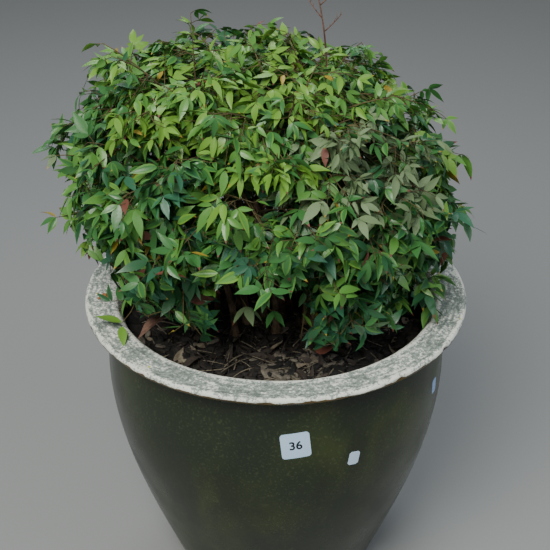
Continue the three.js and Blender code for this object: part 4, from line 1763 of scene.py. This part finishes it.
@dataclass
class SoilBed:
    """The mulch in the pot: a lumpy bed, bark chips, dry leaflets and broken twigs lying on it.

    The chips' width is a share of their length. The flake patch is its left, right, front and back.
    What is placed one by one has its heap, where it starts, how it runs and its length.
    """

    pot: Pot
    height: float
    level_radius: float = 120
    fall: float = 8
    rings: int = 90
    around: int = 220
    lump: float = 4.5
    wall_gap: float = 0.6
    depth: float = 60
    chips: int = 2200
    chips_to: float = 196
    chip_corners: int = 7
    chip_length: tuple[float, float] = (5, 13)
    chip_width: tuple[float, float] = (0.35, 0.75)
    chip_thickness: tuple[float, float] = (0.8, 2.6)
    big_chip_share: float = 0.15
    big_chip_growth: float = 1.7
    pale_share: float = 0.08
    pale_share_in_patch: float = 0.5
    brown_share: float = 0.5
    dry_leaflets: int = 220
    leaflets_to: tuple[float, float] = (192, 200)
    leaflet_length: tuple[float, float] = (14, 32)
    tan_share: float = 0.35
    sticks: int = 620
    sticks_to: tuple[float, float] = (175, 198)
    stick_length: tuple[float, float] = (18, 62)
    stick_thickness: tuple[float, float] = (0.35, 1.0)
    straw_share: float = 0.3
    patch_share: float = 0.12
    flake_patch: tuple[float, float, float, float] = (-18, 84, -164, -98)
    placed: tuple[tuple[str, tuple[float, float, float], tuple[float, float, float], float], ...] = (
        ("dead", (-144, -92, 56), (-0.7, -0.7, -0.14), 50),
        ("brown", (-120, -140, 6), (0.7, 0.7, 0.25), 34),
        ("rust", (-240, -40, 47), (0.75, 0.62, 0.1), 25),
        ("rust", (-228, -46, 47), (-0.2, 0.95, 0.12), 21),
        ("rust", (-233, -24, 47), (0.2, -0.9, 0.2), 17),
    )

    def top(self, x: float, y: float) -> float:
        """The height of the bed above the plant's origin at a place."""
        radius = math.hypot(x, y)
        inner = self.pot.wall_radius(self.height - self.fall) - self.pot.wall
        slope = max(0.0, (radius - self.level_radius) / (inner - self.level_radius)) * self.fall
        spot = Vector((x / 34, y / 34, 0))
        lumps = noise.noise(spot) + 0.5 * noise.noise(spot * 2.7) + 0.3 * noise.noise(spot * 7)
        return lumps * self.lump - slope - 1

    def spot(self, chance: Chance, furthest: float) -> tuple[float, float]:
        """A place on the bed, evenly over it but for a patch of flakes at the front."""
        if chance.next() < self.patch_share:
            left, right, front, back = self.flake_patch
            return chance.between(left, right), chance.between(front, back)
        radius = math.sqrt(chance.next()) * furthest
        turn = chance.between(0, math.tau)
        return radius * math.cos(turn), radius * math.sin(turn)

    def bed(self) -> MeshStore:
        """The bed's mesh, which goes down inside the wall."""
        inner = self.pot.wall_radius(self.height - self.fall) - self.pot.wall - self.wall_gap
        points = [Vector((0, 0, self.top(0, 0)))]
        for ring in range(1, self.rings + 1):
            radius = inner * ring / self.rings
            for k in range(self.around):
                turn = math.tau * k / self.around
                x, y = radius * math.cos(turn), radius * math.sin(turn)
                points.append(Vector((x, y, self.top(x, y))))
        low = self.pot.wall_radius(self.height - self.depth) - self.pot.wall - self.wall_gap
        for k in range(self.around):
            turn = math.tau * k / self.around
            points.append(Vector((low * math.cos(turn), low * math.sin(turn), -self.depth)))
        points.append(Vector((0, 0, -self.depth)))
        faces = fan(0, 1, self.around)
        for ring in range(self.rings):
            faces += band(1 + ring * self.around, self.around, flipped=True)
        faces += fan(len(points) - 1, 1 + self.rings * self.around, self.around, flipped=True)
        store = MeshStore()
        store.add(points, faces)
        return store

    def chip(self, chance: Chance) -> tuple[list[Vector], list[tuple[int, ...]], tuple[float, float]]:
        """One bark chip: an uneven plate with bevelled edges, lying about flat on the bed.

        Args:
            chance: the source of numbers.

        Returns:
            Its points, its faces and its place.
        """
        x, y = self.spot(chance, self.chips_to)
        length = chance.between(*self.chip_length)
        length *= self.big_chip_growth if chance.next() < self.big_chip_share else 1
        width = length * chance.between(*self.chip_width)
        thick = chance.between(*self.chip_thickness)
        turn = chance.between(0, 360)
        flat = (UP + chance.way() * 0.45).normalized()
        ahead = along_surface(turned(Vector((1, 0, 0)), UP, turn), flat).normalized()
        side = flat.cross(ahead)
        middle = Vector((x, y, self.top(x, y) + chance.between(-0.5, 3.2)))
        rim = []
        for k in range(self.chip_corners):
            angle = math.tau * k / self.chip_corners
            size = chance.between(0.72, 1.1)
            rim.append(ahead * (math.cos(angle) * length * size) + side * (math.sin(angle) * width * size))
        points = [middle + out * 0.8 - flat * thick for out in rim]
        points += [middle + out for out in rim]
        points += [middle + out * 0.72 + flat * (thick * chance.between(0.5, 1.2)) for out in rim]
        return points, tube_faces(3, self.chip_corners), (x, y)

    def in_patch(self, x: float, y: float) -> bool:
        """Whether a place is in the patch of flakes."""
        left, right, front, back = self.flake_patch
        return left < x < right and front < y < back

    def scatter_chips(self) -> dict[str, MeshStore]:
        """The chips, in a dark, a brown and a pale heap."""
        chance = Chance(SEED + 7)
        heaps = {name: MeshStore() for name in CHIP_TONES}
        for _ in range(self.chips):
            points, faces, (x, y) = self.chip(chance)
            draw = chance.next()
            if draw < (self.pale_share_in_patch if self.in_patch(x, y) else self.pale_share):
                heap = "pale"
            else:
                heap = "brown" if draw < self.brown_share else "dark"
            heaps[heap].add(points, faces)
        return heaps

    def scatter_leaflets(self) -> dict[str, MeshStore]:
        """Dry leaflets, curled as they dried: brown and tan ones at random, and those that are placed."""
        chance = Chance(SEED + 8)
        heaps = {name: MeshStore() for name in LITTER_TONES}
        spread, furthest = self.leaflets_to
        for _ in range(self.dry_leaflets):
            x, y = self.spot(chance, spread)
            flat = (UP + chance.way() * 0.5).normalized()
            ahead = along_surface(turned(Vector((1, 0, 0)), UP, chance.between(0, 360)), flat).normalized()
            length = chance.between(*self.leaflet_length)
            base = Vector((x, y, self.top(x, y) + chance.between(2, 6))) - ahead * (length / 2)
            leaflet = Leaflet(base, ahead, flat, length, length * chance.between(0.3, 0.45),
                              fold=chance.between(5, 45), curl=chance.between(-70, 60), wave=0.15)
            points = LeafPress.points(leaflet)
            if any(math.hypot(point.x, point.y) > furthest for point in points):
                continue
            points = [Vector((p.x, p.y, max(p.z, self.top(p.x, p.y) + 0.8))) for p in points]
            heaps["tan" if chance.next() < self.tan_share else "brown"].add(*LeafPress.whole(points))
        for tone, base, way, length in self.placed:
            ahead = Vector(way).normalized()
            face = along_surface(UP, ahead).normalized()
            leaflet = Leaflet(Vector(base), ahead, face, length, length * 0.36, fold=24, curl=22, wave=0.2)
            heaps[tone].add(*LeafPress.whole(LeafPress.points(leaflet)))
        return heaps

    def scatter_sticks(self) -> dict[str, MeshStore]:
        """Broken twigs and straw."""
        chance = Chance(SEED + 9)
        heaps = {name: MeshStore() for name in STICK_TONES}
        spread, furthest = self.sticks_to
        for _ in range(self.sticks):
            x, y = self.spot(chance, spread)
            length = chance.between(*self.stick_length)
            ahead = turned(Vector((1, 0, 0)), UP, chance.between(0, 360))
            start = Vector((x, y, self.top(x, y) + chance.between(1, 5)))
            end = start + ahead * length
            if math.hypot(end.x, end.y) > furthest:
                continue
            end.z = self.top(end.x, end.y) + chance.between(1, 7)
            bend = start.lerp(end, 0.5) + chance.way() * (length * 0.12) + UP * 2
            line = Arch(start, bend, end).line(5)
            thick = chance.between(*self.stick_thickness)
            heap = "straw" if chance.next() < self.straw_share else "dark"
            heaps[heap].add_tube(line, [thick] * len(line), 5)
        return heaps

    def lay(self, heaps: dict[str, MeshStore], label: str, finish: str, tones: dict[str, tuple[str, str]],
            **texture: float) -> None:
        """Makes a piece of each heap, in its own two tones.

        Args:
            heaps: the heaps, by name.
            label: what the pieces are called, before the heap's name.
            finish: what their materials are called, before it.
            tones: the dark and the light tone of each.
            texture: what the materials share.
        """
        for name, heap in heaps.items():
            skin = Weathered(f"{finish}_{name}", *tones[name], **texture)
            place_piece(heap.piece(f"{label}_{name}", skin.material(), self.height))

    def build(self) -> None:
        """Makes the bed and what lies on it."""
        # The mulch is dark of its own, and its two tones are set darker still: painted shade for the shade
        # that the foliage casts on the bed.
        mulch = Weathered("bark_mulch_and_painted_shade", "#100f0d", "#2a2723", cloud=14, grain=2.5, bump=1.0)
        place_piece(self.bed().piece("soil_bed", mulch.material(), self.height), ["soil"])
        self.lay(self.scatter_chips(), "bark_chips", "bark_chip", CHIP_TONES, cloud=7, grain=1.6, bump=0.8)
        self.lay(self.scatter_leaflets(), "litter", "dry_leaflet", LITTER_TONES, cloud=10, grain=1.5,
                 bump=0.4, roughness=0.75)
        self.lay(self.scatter_sticks(), "sticks", "broken_twig", STICK_TONES, cloud=12, grain=1.5, bump=0.4)


# Studio


@dataclass(frozen=True)
class SoftLight:
    """A round soft light. Its place and its width are in metres, and its power is in watts."""

    name: str
    place: tuple[float, float, float]
    width: float
    power: float
    colour: str

    def hang(self, target: Vector) -> None:
        """Hangs the light in its place, looking at a target."""
        data = bpy.data.lights.new(self.name, "AREA")
        data.shape = "DISK"
        data.size = self.width
        data.energy = self.power
        data.color = linear(self.colour)[:3]
        light = bpy.data.objects.new(self.name, data)
        light.location = self.place
        light.rotation_euler = (target - Vector(self.place)).to_track_quat("-Z", "Y").to_euler()
        bpy.context.scene.collection.objects.link(light)


@dataclass(frozen=True)
class Studio:
    """The camera at the photo's angle, a plain pale floor and soft light from above, in metres."""

    camera_at: tuple[float, float, float] = (-0.0010, -1.2928, 1.2379)
    pitch: float = 59.15
    lens: float = 72
    sensor: float = 36
    target: tuple[float, float, float] = (0, 0, 0.5)
    lights: tuple[SoftLight, ...] = (
        SoftLight("key", (-0.7, -1.7, 2.6), width=1.5, power=84, colour="#fffdf6"),
        SoftLight("side", (1.8, -0.9, 2.2), width=1.4, power=16, colour="#eef4ff"),
        SoftLight("back", (-0.3, 1.7, 2.6), width=1.4, power=20, colour="#f0f6ff"),
    )
    air_colour: str = "#dfe6ea"
    air_strength: float = 0.26
    floor_reach: float = 9
    floor_colour: str = "#9a9c9b"

    def build(self) -> None:
        """Makes the camera, the floor and the lights."""
        scene = bpy.context.scene
        camera = bpy.data.objects.new("camera", bpy.data.cameras.new("camera"))
        camera.data.lens = self.lens
        camera.data.sensor_width = self.sensor
        camera.location = self.camera_at
        camera.rotation_euler = (math.radians(self.pitch), 0, 0)
        scene.collection.objects.link(camera)
        scene.camera = camera
        store = MeshStore()
        half = self.floor_reach / MM
        store.add([(-half, -half, 0), (half, -half, 0), (half, half, 0), (-half, half, 0)], [(0, 1, 2, 3)])
        floor = store.piece("floor", PlainSkin("painted_floor", self.floor_colour, 0.7, 40).material())
        for light in self.lights:
            light.hang(Vector(self.target))
        world = bpy.data.worlds.new("studio_air")
        world.use_nodes = True
        air = world.node_tree.nodes["Background"]
        air.inputs["Color"].default_value = linear(self.air_colour)
        air.inputs["Strength"].default_value = self.air_strength
        scene.world = world


def place_piece(piece: bpy.types.Object, nodes: Sequence[str] = ()) -> None:
    """Seats a piece on the plant's one body, hides the solids that it stands for and logs its faces.

    Args:
        piece: the piece.
        nodes: the solids that it replaces.
    """
    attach(piece, "root")
    if nodes:
        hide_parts(*nodes)
    LOG.info("%s: %d faces", piece.name, len(piece.data.polygons))


def main() -> None:
    """Builds the plant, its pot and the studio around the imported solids."""
    logging.basicConfig(level=logging.INFO, format="%(message)s")
    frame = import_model()
    foliage_nodes = [name for name in frame["nodes"] if name.startswith("foliage_")]
    cane_nodes = [name for name in frame["nodes"] if name.startswith("cane_")]
    levels = Levels.from_frame()
    Studio().build()
    pot = Pot(levels.rim)
    pot.build()
    for label in LABELS:
        label.build(pot)
    SoilBed(pot, levels.soil).build()
    planting = Planting(levels)
    Canes(planting).build(cane_nodes)
    Foliage(planting).build(foliage_nodes)
    FlowerStalk(planting).build()


if __name__ == "__main__":
    main()
